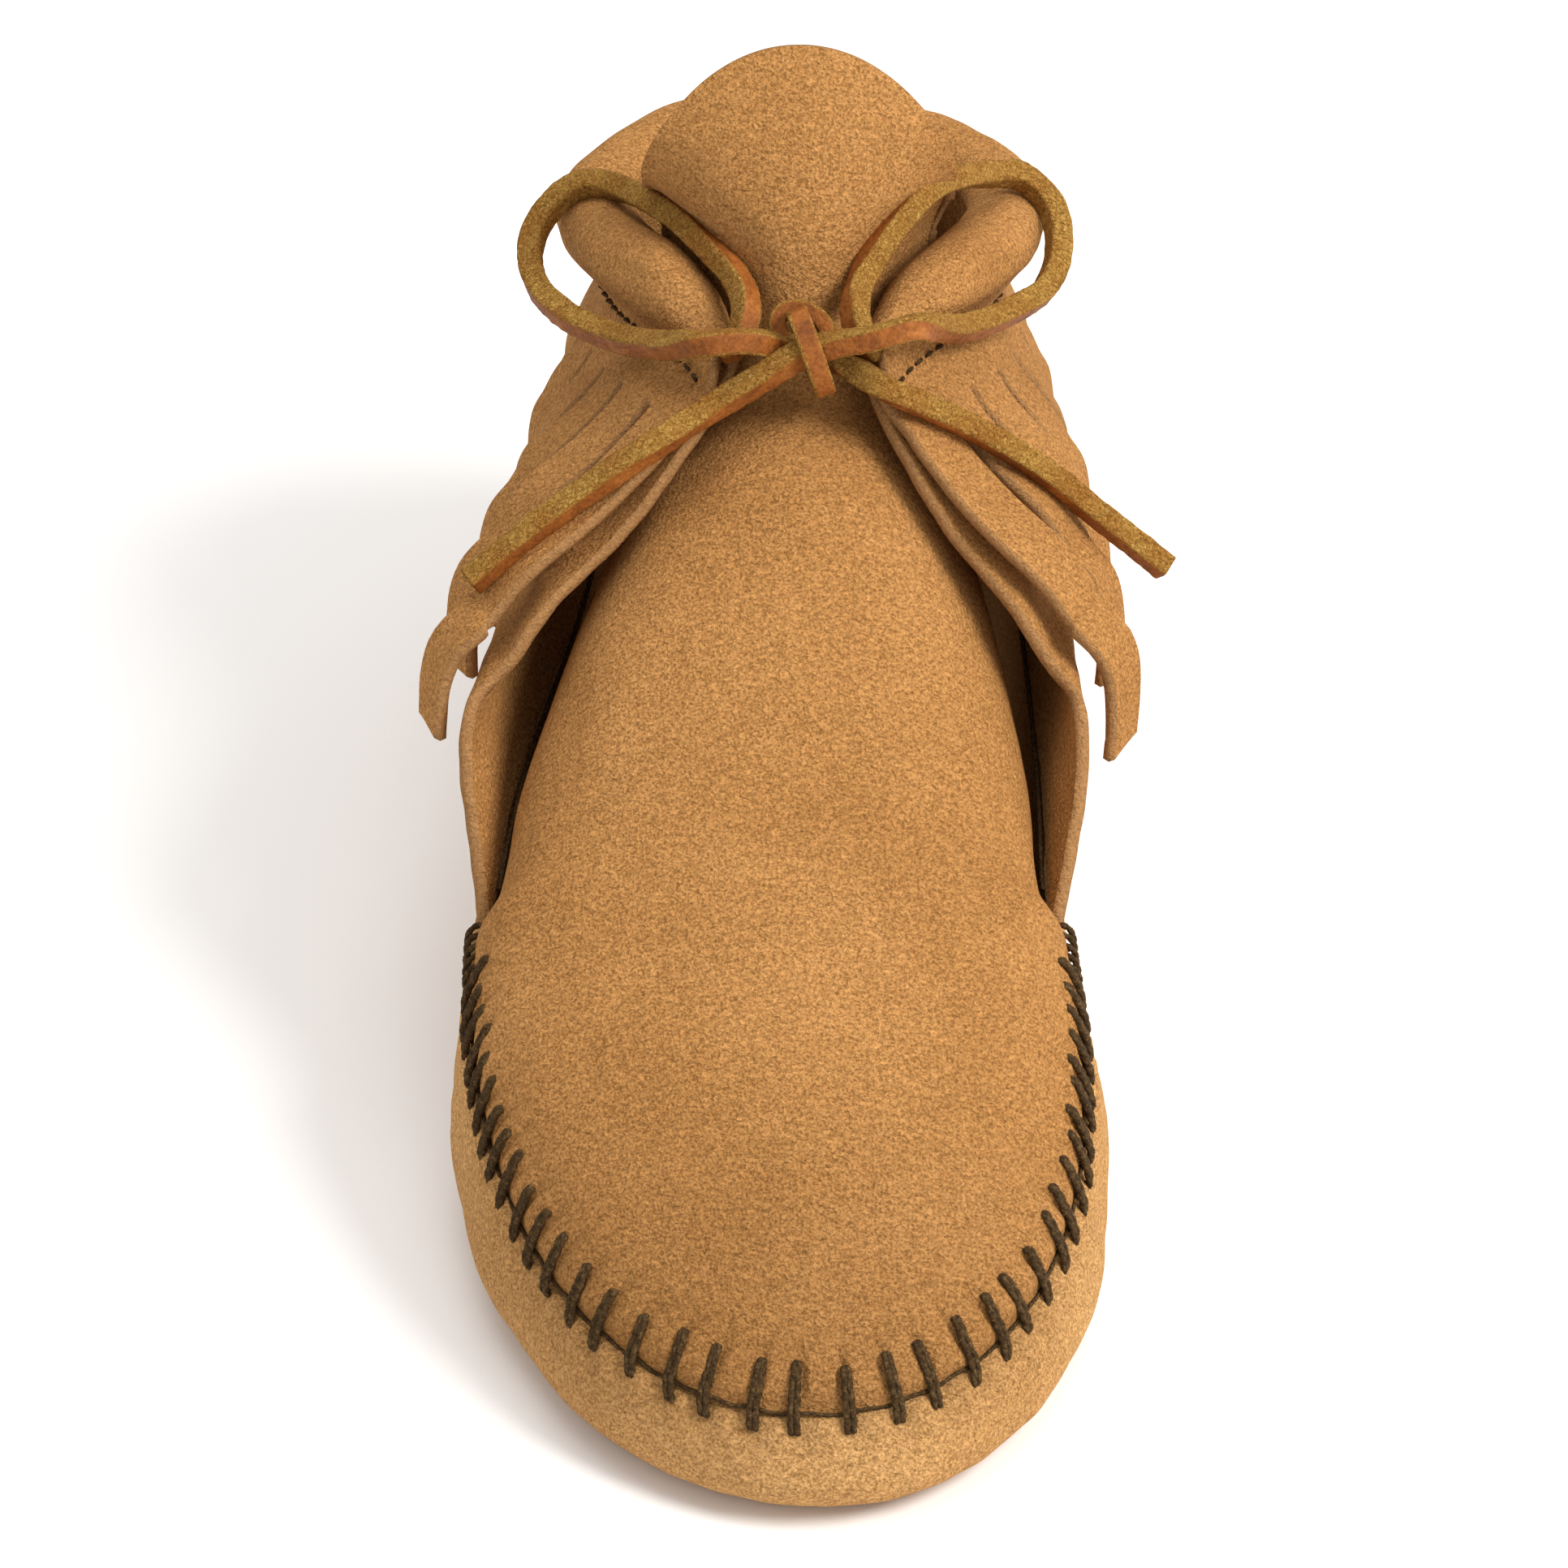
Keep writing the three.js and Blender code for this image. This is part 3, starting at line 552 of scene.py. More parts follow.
def grain_ups(path, loop_centre, tilts):
    """Directions away from the grain face, which is on the outside of the loop and under the tail."""
    share = np.linspace(0, 1, len(path))
    along = unit(np.gradient(path, axis=0))
    tail = smoothstep(TAIL_FROM - TAIL_TURN, TAIL_FROM + TAIL_TURN, share)[:, None]
    facing = mix(unit(path - np.array(loop_centre)), np.array([0, 0, -1.0]), tail)
    facing = facing + TO_CAMERA * through(*tilts)(share)[:, None]
    for _ in range(6):
        facing[1:-1] = (facing[:-2] + facing[1:-1] + facing[2:]) / 3
    return -unit(facing - along * (facing * along).sum(1, keepdims=True))


def make_lace(materials):
    ends = (
        (
            "lace_left", LACE_LEFT, (-0.022, 0.055, 0.096),
            [(0, 0.5), (0.2, 0.1), (0.4, 0.3), (0.6, 0.5), (1, 0.75)],
        ),
        (
            "lace_right", LACE_RIGHT, (0.028, 0.055, 0.098),
            [(0, 0.1), (0.3, 0.1), (0.5, 0.6), (0.7, 1.0), (1, 1.0)],
        ),
    )
    for seed, (name, route, loop_centre, tilts) in enumerate(ends):
        curve, _ = by_length(spline(route))
        path = curve(np.linspace(0, 1, LACE_STEPS)) * MM
        ups = grain_ups(path, loop_centre, tilts)
        made = thong(f"{name}_thong", path, ups, SEEN_LACE_WIDTH, materials, 10 * seed + 5, name)
        length_of(path)


# --- Lines of the last, as in the CAD model, in millimetres ---

HALF = 120.0
TOE_TUCK = 2.0
SEAM_BACK, SEAM_HEIGHT = 8.5, 16.0
HEEL_BACK, HEEL_HEIGHT = 3.0, 48.0
BALL_SOLE, BALL_SEAM, HEEL_CENTRE = -49.0, -45.0, 85.0
THROAT_Y = -30.0
THROAT_RELEASE = 4.5
SOLE_EDGE = 10.0

SOLE_TOE = -HALF + TOE_TUCK
SEAM_TOE = -HALF + SEAM_BACK
RIM_HEEL = HALF - HEEL_BACK
RELEASE = THROAT_Y - THROAT_RELEASE

spine = through(
    (-122, 5), (-104, 3.5), (-92, 2.5), (-74, 1.2), (-49, -1), (-30, -2), (0, -0.5), (40, 2.5), (100, 2.5),
    (122, 2),
)


def half_width(toe, ball, heel, roundness, *stations):
    """Half the width of an outline: a rounded toe, a waist through stations and a rounded heel."""
    waist = through(*stations)

    def rounded(width, share):
        return width * np.sqrt(np.maximum(1 - np.clip(share, 0, 1) ** roundness, 0))

    def width(y):
        front = rounded(waist(ball), (ball - y) / (ball - toe))
        back = rounded(waist(HEEL_CENTRE), (y - HEEL_CENTRE) / (heel - HEEL_CENTRE))
        return np.where(y < ball, front, np.where(y > HEEL_CENTRE, back, waist(y)))

    return width


sole_width = half_width(
    SOLE_TOE, BALL_SOLE, HALF, 2.05, (BALL_SOLE, 48), (-25, 44.5), (0, 41), (30, 37.5), (60, 34.5),
    (HEEL_CENTRE, 33),
)
rim_width = half_width(
    SEAM_TOE, BALL_SEAM, RIM_HEEL, 2.2, (BALL_SEAM, 44), (THROAT_Y, 43), (0, 41), (40, 36), (HEEL_CENTRE, 31),
)
rim_height = through(
    (SEAM_TOE, SEAM_HEIGHT), (-104, 17), (-92, 19), (-74, 23), (-57, 28), (BALL_SEAM, 33), (THROAT_Y, 38),
    (0, 42), (40, 44), (80, 46), (RIM_HEEL, HEEL_HEIGHT),
)


def stacked(x, y, z):
    return np.stack(np.broadcast_arrays(x, y, z), axis=-1).astype(float)


def along_ends(toe, heel, share):
    return mix(toe, heel, (1 - np.cos(np.pi * share)) / 2)


def sole_point(share, side):
    y = along_ends(SOLE_TOE, HALF, share)
    return stacked(spine(y) + side * sole_width(y), y, 0)


def rim_point(share, side):
    y = along_ends(SEAM_TOE, RIM_HEEL, share)
    return stacked(spine(y) + side * rim_width(y), y, rim_height(y))


def rim_share(y):
    return math.acos(1 - 2 * (y - SEAM_TOE) / (RIM_HEEL - SEAM_TOE)) / math.pi


# --- Toe seam: where the stitches are, and how they gather the leather ---

BARS = 37
TACK_ROOM = 10.0
TOE_SPREAD = 0.28
BAR_ON_PLUG, BAR_ON_WALL = 6.6, 2.3

seam_reach = rim_share(THROAT_Y - TACK_ROOM)


def seam_line(t):
    """The seam from the outer throat (t = 0) round the toe to the inner throat (1)."""
    place = mix(-1, 1, np.asarray(t, float)) * seam_reach
    return rim_point(np.abs(place), np.where(place < 0, -1, 1))


seam_at, seam_parameter = by_length(seam_line)


def spread(even):
    return even + TOE_SPREAD * np.sin(2 * np.pi * (even - 0.5)) / (2 * np.pi)


SEAM_SAMPLES = 1600
seam_shares = np.linspace(0, 1, SEAM_SAMPLES)
seam_samples = seam_at(seam_shares)
even_steps = np.linspace(-0.1, 1.1, 600)
seam_phase = np.interp(seam_shares, spread(even_steps), even_steps) * BARS - 0.5


def near_seam(points):
    """Each point's distance from the toe seam, the stitch count there, and how far it is from an end."""
    flat = points.reshape(-1, 3)
    distance = np.full(len(flat), 1e3)
    phase = np.zeros(len(flat))
    close = np.flatnonzero(flat[:, 1] < THROAT_Y + 5)
    for part in np.array_split(close, max(len(close) // 2000, 1)):
        if len(part):
            gaps = np.linalg.norm(flat[part, None] - seam_samples[None], axis=2)
            nearest = gaps.argmin(1)
            distance[part] = gaps[np.arange(len(part)), nearest]
            phase[part] = seam_phase[nearest]
    ends = smoothstep(-0.6, 0.2, phase) * smoothstep(BARS - 0.4, BARS - 1.2, phase)
    return (values.reshape(points.shape[:-1]) for values in (distance, phase, ends))


# --- Surfaces ---

BULGE_SHARE = 0.42
WALL_SHARE = 0.8
sole_centre = np.array([float(spine(0.0)), 0.0, 0.0])


def round_the_shoe(u):
    """The share along an outline, and the side of the shoe, at u round the heel, the toe and the heel."""
    return np.abs(1 - 2 * u), np.where(u < 0.5, -1, 1)


def sole_inwards(u):
    """The level direction from the sole's edge inwards, square to the edge."""
    before = sole_point(*round_the_shoe(np.maximum(u - DERIVATIVE_STEP, 0)))
    after = sole_point(*round_the_shoe(np.minimum(u + DERIVATIVE_STEP, 1)))
    along = unit(after - before)
    return stacked(-along[..., 1], along[..., 0], 0)


def wall_point(u, v):
    """The bottom's wall from the rim (v = 0) over the bulge (0.5) to the edge of the flat sole (1)."""
    share, side = round_the_shoe(u)
    rim, edge = rim_point(share, side), sole_point(share, side)
    rim[..., 2] -= GAP / 2
    bulge = rim[..., 2] * BULGE_SHARE
    rise = np.clip(1 - 2 * v, 0, 1)
    wall = mix(edge, rim, (rise * rise)[..., None])
    wall[..., 2] = mix(bulge, rim[..., 2], rise)
    turn = np.clip(v - 0.5, 0, 0.5) * np.pi
    tucked = edge + sole_inwards(u) * (SOLE_EDGE * (1 - np.cos(turn)))[..., None]
    tucked[..., 2] = bulge * (1 - np.sin(turn))
    return np.where((v < 0.5)[..., None], wall, tucked)


def bottom_point(u, v):
    wall = wall_point(u, np.minimum(v / WALL_SHARE, 1))
    inwards = np.clip((v - WALL_SHARE) / (1 - WALL_SHARE), 0, 1)[..., None]
    flat = mix(wall, sole_centre, inwards)
    flat[..., 2] = np.where(v > WALL_SHARE, 0, flat[..., 2])
    return flat


CREASE_Y, CREASE_HEIGHT, CREASE_WIDTH, CREASE_BASE, CREASE_SWEEP = 36.0, 88.5, 22.0, 66.0, 20.0
ridge = through(
    (SEAM_TOE, SEAM_HEIGHT), (-106, 22), (-98, 28), (-80, 38), (-60, 46.5), (-40, 54.5), (-20, 64), (0, 75),
    (18, 84), (CREASE_Y, CREASE_HEIGHT),
)
plug_width = through(
    (RELEASE, 43.3), (THROAT_Y, 40.4), (-26, 39.3), (-10, 37.5), (5, 33.5), (20, 27.5),
    (CREASE_Y, CREASE_WIDTH),
)
plug_base = through(
    (RELEASE, float(rim_height(RELEASE))), (THROAT_Y, 38.5), (-10, 45), (5, 51), (20, 58.5),
    (CREASE_Y, CREASE_BASE),
)
plug_sweep = through((0, 0), (18, 7), (CREASE_Y, CREASE_SWEEP))
FIRST_ROW = 0.035
ARCH_ROUNDNESS = 0.9


def arch_at(u):
    """Where u is across an arched panel, from -1 to 1, and the arch's height there, from 0 to 1."""
    turn = np.pi * (1 - u)
    return np.cos(turn), np.maximum(np.sin(turn), 0) ** ARCH_ROUNDNESS


def plug_point(u, v):
    """The top of the foot: u from the outer edge (0) to the inner (1), v from the toe to the crease."""
    across, arch = arch_at(u)
    y = along_ends(SEAM_TOE, 2 * CREASE_Y - SEAM_TOE, mix(FIRST_ROW, 1, v) / 2)
    sewn = y < RELEASE
    width = np.where(sewn, rim_width(y), plug_width(y))
    base = np.where(sewn, rim_height(y), plug_base(y))
    sweep_back = np.where(y > 0, plug_sweep(y), 0) * across**2
    return stacked(spine(y) + across * width, y + sweep_back, base + (ridge(y) - base) * arch)


tongue_line = spline([
    (0, CREASE_Y, CREASE_HEIGHT), (0, 38.2, 95), (0, 41, 102), (0, 45.5, 112), (0, 52.5, 122.5), (0, 62, 132),
])
tongue_width = through(
    (0, CREASE_WIDTH), (0.15, 20.2), (0.3, 19.6), (0.4, 20), (0.5, 21.8), (0.65, 24.6), (1, 24.6),
)
tongue_sweep = through((0, CREASE_SWEEP), (0.18, 31), (0.35, 31), (0.5, 26), (0.65, 14), (0.8, 6), (1, 2))
tongue_drop = through((0, CREASE_HEIGHT - CREASE_BASE), (0.2, 17), (0.4, 10), (0.6, 6), (1, 2))
TONGUE_ROUND_FROM, TONGUE_ROUNDNESS = 0.5, 2.2


def tongue_point(u, v):
    """The plug's free end above the crease, v from the crease (0) to its rounded edge (1)."""
    across, arch = arch_at(u)
    v = v * mix(TONGUE_ROUND_FROM, 1, np.maximum(1 - across**2, 0) ** (1 / TONGUE_ROUNDNESS))
    x = spine(CREASE_Y) + across * tongue_width(v)
    return tongue_line(v) + stacked(x, tongue_sweep(v) * across**2, tongue_drop(v) * (arch - 1))


PLUG_SHARE = 0.76


def top_point(u, v):
    """Plug and tongue as one piece: the plug up to PLUG_SHARE, the tongue above it."""
    plug = plug_point(u, np.minimum(v / PLUG_SHARE, 1))
    tongue = tongue_point(u, np.maximum((v - PLUG_SHARE) / (1 - PLUG_SHARE), 0))
    return np.where((v < PLUG_SHARE)[..., None], plug, tongue)


FRONT_EDGE = [
    (43, THROAT_Y, 38), (46.2, -13, 54.5), (45.2, -6.5, 61.5), (41, -2, 65), (36, 2.5, 71), (25.5, 12.5, 78),
    (18.5, 20, 85), (12.5, 28.5, 91), (10, 36, 94.5),
]
COLLAR_LINE = [
    (10, 36, 94.5), (12.8, 43, 95), (18.3, 53, 94), (23.2, 62, 92.3), (26.5, 71, 90.5), (28, 80, 88.7),
    (26.5, 89, 87.7), (21.5, 96, 87.2), (14, 101, 87), (6, 103.2, 87), (0, 103.4, 87),
]
HEEL_LINE = [(0, RIM_HEEL, HEEL_HEIGHT), (0, 114, 60), (0, 108.5, 74), (0, 103.4, 87)]


def quarter_surface(side):
    """A quarter's outer face: u from its front edge (0) to the heel (1), v from the bottom to the collar."""

    def beside(points):
        return [(float(spine(y)) + side * out, y, z) for out, y, z in points]

    front, _ = by_length(spline(beside(FRONT_EDGE)))
    collar, _ = by_length(spline(beside(COLLAR_LINE)))
    heel, _ = by_length(spline(beside(HEEL_LINE)))
    throat = rim_share(THROAT_Y)

    def rim(u):
        return rim_point(mix(throat, 1, u), side) + np.array([0, 0, GAP / 2])

    corners = [rim(np.array(0.0)), rim(np.array(1.0)), collar(np.array(0.0)), collar(np.array(1.0))]

    def point(u, v):
        back, rise = (1 - (1 - u) ** 2)[..., None], v[..., None]
        upright = mix(front(v), heel(v), back)
        level = mix(rim(u), collar(u), rise)
        bilinear = mix(mix(corners[0], corners[1], back), mix(corners[2], corners[3], back), rise)
        made = upright + level - bilinear
        made[..., 0] += side * GAP * u**8
        return made

    return point


ROLL_RADIUS, ROLL_DRAWN_IN, ROLL_PUFF = 5.9, 0.22, 1.2
STITCH_DROP, ROOT_DROP, FLARE = 9.0, 17.0, 5.0
ROLL_SHARE = 0.6
FLAP_LEAST = SUEDE + 2 * GAP
flap_offset = through(
    (0, 2 * ROLL_RADIUS - SUEDE), (4, 2 * ROLL_RADIUS - SUEDE - 1.5), (STITCH_DROP, FLAP_LEAST),
    (ROOT_DROP, SUEDE + 3 * GAP), (ROOT_DROP + 16, SUEDE + 3), (60, SUEDE + FLARE),
)
tip_share = through((0, 0.25), (0.2, 0.18), (0.45, 0.08), (1, 0.06))


class Cuff:
    """One side's quarter with the cuff that rolls over its top and hangs outside it."""

    def __init__(self, side):
        self.side = side
        self.quarter = quarter_surface(side)
        self.sample = np.linspace(0, 1, 401)
        rows = [self.quarter(self.sample, np.full_like(self.sample, v)) for v in np.linspace(0, 1, 9)]
        self.heights = np.linalg.norm(np.diff(rows, axis=0), axis=-1).sum(axis=0)

    def fall(self, u):
        """The quarter's height along its face, from the rim to the collar."""
        return np.interp(u, self.sample, self.heights)

    def outwards(self, u, v):
        return normals_of(self.quarter, u, v) * self.side

    def root_share(self, u):
        return 1 - ROOT_DROP / self.fall(u)

    def offset(self, u, drop):
        """How far the flap lies outside the quarter. The lace draws the roll in at its front end."""
        drawn = mix(ROLL_DRAWN_IN, 1, smoothstep(0, 0.22, u))
        return np.where(drop < STITCH_DROP, mix(FLAP_LEAST, flap_offset(drop), drawn), flap_offset(drop))

    def hanging(self, u, v):
        drop = (1 - v) * self.fall(u)
        return self.quarter(u, v) + self.outwards(u, v) * self.offset(u, drop)[..., None]

    def root_line(self, u):
        """The line on the hanging cuff that the fringe starts from."""
        return self.hanging(u, self.root_share(u))

    def roll_frame(self, u):
        """The quarter's top edge, the directions up and outwards there, and the roll's radius."""
        top = np.ones_like(u)
        up = unit(self.quarter(u, top) - self.quarter(u, top * 0.96))
        radius = (self.offset(u, 0 * u) + SUEDE) / 2
        return self.quarter(u, top), up, self.outwards(u, top), radius

    def cuff(self, u, v):
        base, up, out, radius = self.roll_frame(u)
        turn = np.pi * np.clip(v / ROLL_SHARE, 0, 1)
        puff = ROLL_PUFF * np.maximum(np.sin(2 * turn), 0) * smoothstep(0.03, 0.25, u)
        rolled = (
            base
            + out * (radius - SUEDE - radius * np.cos(turn) - puff)[..., None]
            + up * (radius * np.sin(turn) + GAP * np.cos(turn / 2))[..., None]
        )
        fall = np.clip((v - ROLL_SHARE) / (1 - ROLL_SHARE), 0, 1)
        hanging = self.hanging(u, mix(1, self.root_share(u), fall))
        return np.where((v > ROLL_SHARE)[..., None], hanging, rolled)


cuffs = {side: Cuff(side) for side, _ in SIDES}

# --- Leather pieces ---


def wrinkles(points, depth, size, seed):
    return ripple(points, size, seed) * depth


def bottom_relief(points, u, v):
    """Gathers between the stitches, which open out below the seam, and the sag of a soft wall."""
    distance, phase, ends = near_seam(points)
    fullness = smoothstep(0.3, 1.6, distance) * smoothstep(7.5, 2.0, distance)
    puckers = -np.cos(2 * np.pi * phase) * 0.5 * fullness * ends
    rolled = 0.55 * smoothstep(9, 2.5, distance) * smoothstep(0, 2.0, distance) * ends
    free = smoothstep(0.5, 4, points[..., 2])
    waves = wrinkles(points, 0.28, 26, 3) + wrinkles(points, 0.09, 7, 4)
    return (puckers + rolled + waves) * free


def top_relief(points, u, v):
    """Dents where each stitch pulls the plug down, and the leather's slow waves."""
    distance, phase, ends = near_seam(points)
    pull = np.maximum(np.cos(2 * np.pi * phase), 0) ** 2
    dents = -0.5 * pull * smoothstep(1.5, 5.5, distance) * smoothstep(12, 7.5, distance) * ends
    puffs = 0.45 * (1 - pull) * smoothstep(0.6, 3.0, distance) * smoothstep(9, 4.5, distance) * ends
    calm = smoothstep(0, 0.06, np.minimum(u, 1 - u))
    return dents + puffs + (wrinkles(points, 0.22, 30, 8) + wrinkles(points, 0.07, 8, 9)) * calm


def hanging_relief(points, u, v):
    return wrinkles(points, 0.22, 22, 21) + wrinkles(points, 0.07, 6, 22)


def leather(name, made, material, body, replaces):
    points, faces, cut = made
    new = piece(name, points, faces, [material], body, replaces)
    set_shares(new, "cut", cut * 0.6)
    # Painted shade: a share that darkens the top of the toe, rising towards its tip.
    set_shares(new, "painted_toe_shade", smoothstep(-60, -105, points[:, 1]) * smoothstep(8, 18, points[:, 2]))
    return new


def make_bottom(material):
    points, faces, cut = panel(bottom_point, 620, 84, side=-1, closed=True, relief=bottom_relief)
    points[:, 2] = np.maximum(points[:, 2], 0)
    leather("suede_bottom", (points, faces, cut), material, "root", ["bottom"])


def make_top(material):
    made = panel(top_point, 150, 260, 1, relief=top_relief)
    top = leather("suede_plug_and_tongue", made, material, None, ["plug", "tongue"])
    crease = np.array([float(spine(CREASE_Y)), CREASE_Y, CREASE_HEIGHT]) * MM
    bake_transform(top)


def make_quarters(material):
    for side, name in SIDES:
        quarter = cuffs[side].quarter
        made = panel(quarter, 130, 70, side, relief=hanging_relief)
        leather(f"suede_quarter_{name}", made, material, "root", [f"quarter_{name}"])


def cuff_relief(cuff):
    """Soft folds across the roll, a dip at the tunnel's stitching, and none at the roots of the fringe."""

    def relief(points, u, v):
        rolled = smoothstep(0.02, 0.2, v) * smoothstep(0.75, 0.5, v) * smoothstep(0, 0.15, u)
        stitch = STITCH_DROP / ROOT_DROP
        drop = (v - ROLL_SHARE) / (1 - ROLL_SHARE)
        dip = -0.55 * np.exp(-(((drop - stitch) / 0.09) ** 2))
        return hanging_relief(points, u, v) + rolled * wrinkles(points, 0.22, 17, 31) + dip

    return relief


STRIPS = 11
SLIT = 1.9
TIP_WIDTH = 0.8
BLEND_TO = 0.16


def strip_relief(points, u, v):
    return hanging_relief(points, u, v) * mix(1, 0.5, smoothstep(0, 0.2, v))


def strip_mesh(cuff, number, random):
    """One strip of fringe from the root line down, a little curled and unevenly cut.

    Beside the mesh it gives two points, in metres: the middle of its root and a point a little way down its
    centre."""
    u_line = np.linspace(0, 1, 401)
    root = cuff.root_line(u_line)
    steps = np.concatenate([[0], np.cumsum(np.linalg.norm(np.diff(root, axis=0), axis=1))])
    slit = SLIT * STRIPS / steps[-1] / 2
    low, high = (0 if number == 0 else slit), 1 - slit

    def u_at(a):
        return np.interp((number + mix(low, high, a)) / STRIPS, steps / steps[-1], u_line)

    middle = u_at(0.5)
    tip = tip_share(middle) - random.uniform(-0.03, 0.015)
    turned = random.uniform(-0.7, 0.7)
    curl, lean = random.uniform(-0.3, 0.8), random.uniform(-0.9, 0.9)

    def centre(b):
        u = np.full_like(b, middle)
        return cuff.hanging(u, mix(cuff.root_share(u), tip, b))

    near, middle_root, far = cuff.root_line(u_at(np.array([0, 0.5, 1])))
    across_root = unit(far - near)
    out = cuff.outwards(np.array([middle]), np.array([0.5]))[0]

    def surface(a, b):
        width = mix(1, TIP_WIDTH, b**1.6)
        return (
            (cuff.root_line(u_at(a)) - middle_root) * width[..., None]
            + centre(b)
            + out * (curl * b**2 + turned * (2 * a - 1) * smoothstep(0, 0.4, b))[..., None]
            + across_root * (lean * b**2)[..., None]
        )

    def normal_at(a, b):
        u = u_at(a)
        root_normal = normals_of(cuff.hanging, u, cuff.root_share(u))
        return unit(mix(-root_normal, normals_of(surface, a, b), smoothstep(0, 0.3, b)[..., None]))

    made = panel(surface, 14, 60, -cuff.side, relief=strip_relief, normal_at=normal_at)
    return made, middle_root * MM, centre(np.array([BLEND_TO]))[0] * MM


def make_cuffs(material):
    for side, name in SIDES:
        cuff = cuffs[side]
        made = panel(cuff.cuff, 200, 96, -side, relief=cuff_relief(cuff))
        leather(f"suede_cuff_{name}", made, material, "root", [f"cuff_{name}"])
        random = np.random.default_rng(40 + side)
        for number in range(STRIPS):
            node = f"fringe_{name}_{number + 1:02d}"
            made, start, end = strip_mesh(cuff, number, random)
            strip = leather(f"suede_{node}", made, material, None, [node])
            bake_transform(strip)


# --- Threads ---


PLIES = 2
BAR_RADIUS, BAR_TWIST, BAR_STRANDS_APART = 0.58, 3.2, 0.42
RUNNING_RADIUS, RUNNING_TWIST = 0.33, 2.0
INSIDE_RADIUS, INSIDE_TWIST = 0.4, 2.4
COLLAR_STITCHES, COLLAR_RADIUS = 30, 0.32
WHIP_TURNS, WHIP_PITCH = 5, 1.7


def cable(path, radius, twist_pitch, sides=10, seed=0, taper=0.0):
    """A twisted thread: its section is a few plies side by side, turning along the path."""
    length = length_of(path)
    angle = np.linspace(0, 2 * np.pi, sides * PLIES, endpoint=False)
    lobes = 1 - 0.22 * (0.5 + 0.5 * np.cos(PLIES * angle)) ** 2
    turn = np.linspace(0, 2 * np.pi * length / twist_pitch, len(path)) + seed
    share = np.linspace(-1, 1, len(path))
    size = radius * (1 - taper * share**4)
    shape = lobes[None] * size[:, None]
    outline = np.stack([np.cos(angle + turn[:, None]) * shape, np.sin(angle + turn[:, None]) * shape], -1)
    first = np.cross(unit(path[1] - path[0]), (0.3, 0.2, 0.93))
    return sweep(path, outline, steady_ups(path, first))


def plug_face(x, y):
    """The plug's outer face over the ground plan, with its normal."""

    def height(px, py):
        across = np.minimum(np.abs(px - spine(py)) / rim_width(py), 1)
        base = rim_height(py)
        return base + (ridge(py) - base) * (1 - across * across) ** 0.45

    step = 0.05
    z = height(x, y)
    normal = unit(np.array([z - height(x + step, y), z - height(x, y + step), step]))
    return np.array([x, y, z]), normal


def seam_frame(position):
    """The seam's point, tangent, direction inwards and the wall's u there."""
    t = float(seam_parameter(position))
    place = (2 * t - 1) * seam_reach
    step = 0.002
    along = unit(seam_at(min(position + step, 1)) - seam_at(max(position - step, 0)))
    return seam_at(position), along, unit(np.array([-along[1], along[0], 0])), (1 + place) / 2


def stitch_path(position, random):
    """One whip stitch: out of the plug, down over the seam and into the wall, both ends sunk in."""
    seam, along, inwards, u = seam_frame(position)
    reach = BAR_ON_PLUG + random.uniform(-0.6, 0.6)
    step = 0.1
    top, normal = plug_face(*(seam + inwards * step)[:2])
    while np.linalg.norm(top - seam) < reach:
        step += 0.1
        top, normal = plug_face(*(seam + inwards * step)[:2])
    v = 0.02
    while np.linalg.norm(wall_point(np.array(u), np.array(v)) - seam) < BAR_ON_WALL:
        v += 0.01
    low = wall_point(np.array(u), np.array(v))
    low_normal = -normals_of(wall_point, np.array(u), np.array(v))
    middle_normal = unit(normal + low_normal)
    slant = along * random.uniform(-0.35, 0.35)
    points = [
        top - normal * 1.6 - slant,
        top + normal * 0.25 - slant,
        mix(top, seam, 0.5) + middle_normal * 1.0,
        seam + middle_normal * 1.2,
        low + low_normal * 0.6 + slant,
        low - low_normal * 1.5 + slant,
    ]
    return spline(points)(np.linspace(0, 1, 34)), seam + middle_normal * 0.35


def thread_piece(name, made, material, *nodes):
    points, faces = made
    piece(name, points, faces, [material], "root", nodes)


def make_threads(material):
    random = np.random.default_rng(7)
    bars, running = [], []
    for index in range(BARS):
        position = float(spread((index + 0.5 + random.uniform(-0.12, 0.12)) / BARS))
        path, under = stitch_path(position, random)
        running.append(under)
        _, along, _, _ = seam_frame(position)
        pinch = np.sin(np.linspace(0.15, 1, len(path)) * np.pi * 0.62)[:, None]
        for offset in (-BAR_STRANDS_APART, BAR_STRANDS_APART):
            strand = path + along * offset * pinch
            bars.append(cable(strand, BAR_RADIUS, BAR_TWIST, seed=random.uniform(0, 6), taper=0.55))
    thread_piece("toe_seam_stitches", merged(bars), material, "plug_seam_thread")
    line = spline(running)(np.linspace(0, 1, 700))
    line = line + (ripple(line, 5, 2) * 0.25)[:, None] * np.array([0, 0, 1])
    thread_piece("toe_seam_running_thread", cable(line, RUNNING_RADIUS, RUNNING_TWIST), material)

    for side, name in SIDES:
        make_side_threads(material, side, name)
    quarter = cuffs[1].quarter
    rise = np.linspace(0.05, 0.95, 200)
    heel = inside_line(quarter, 1, np.ones_like(rise), rise)
    thread_piece("heel_seam_twist", cable(heel, INSIDE_RADIUS, INSIDE_TWIST), material, "heel_seam_thread")


def inside_line(surface, side, u, v):
    """A thread's centreline on the inner face of a quarter."""
    return surface(u, v) - normals_of(surface, u, v) * side * (SUEDE + GAP + INSIDE_RADIUS)


def rows_at(table, place):
    return np.stack([np.interp(place, np.arange(len(table)), column) for column in table.T], -1)


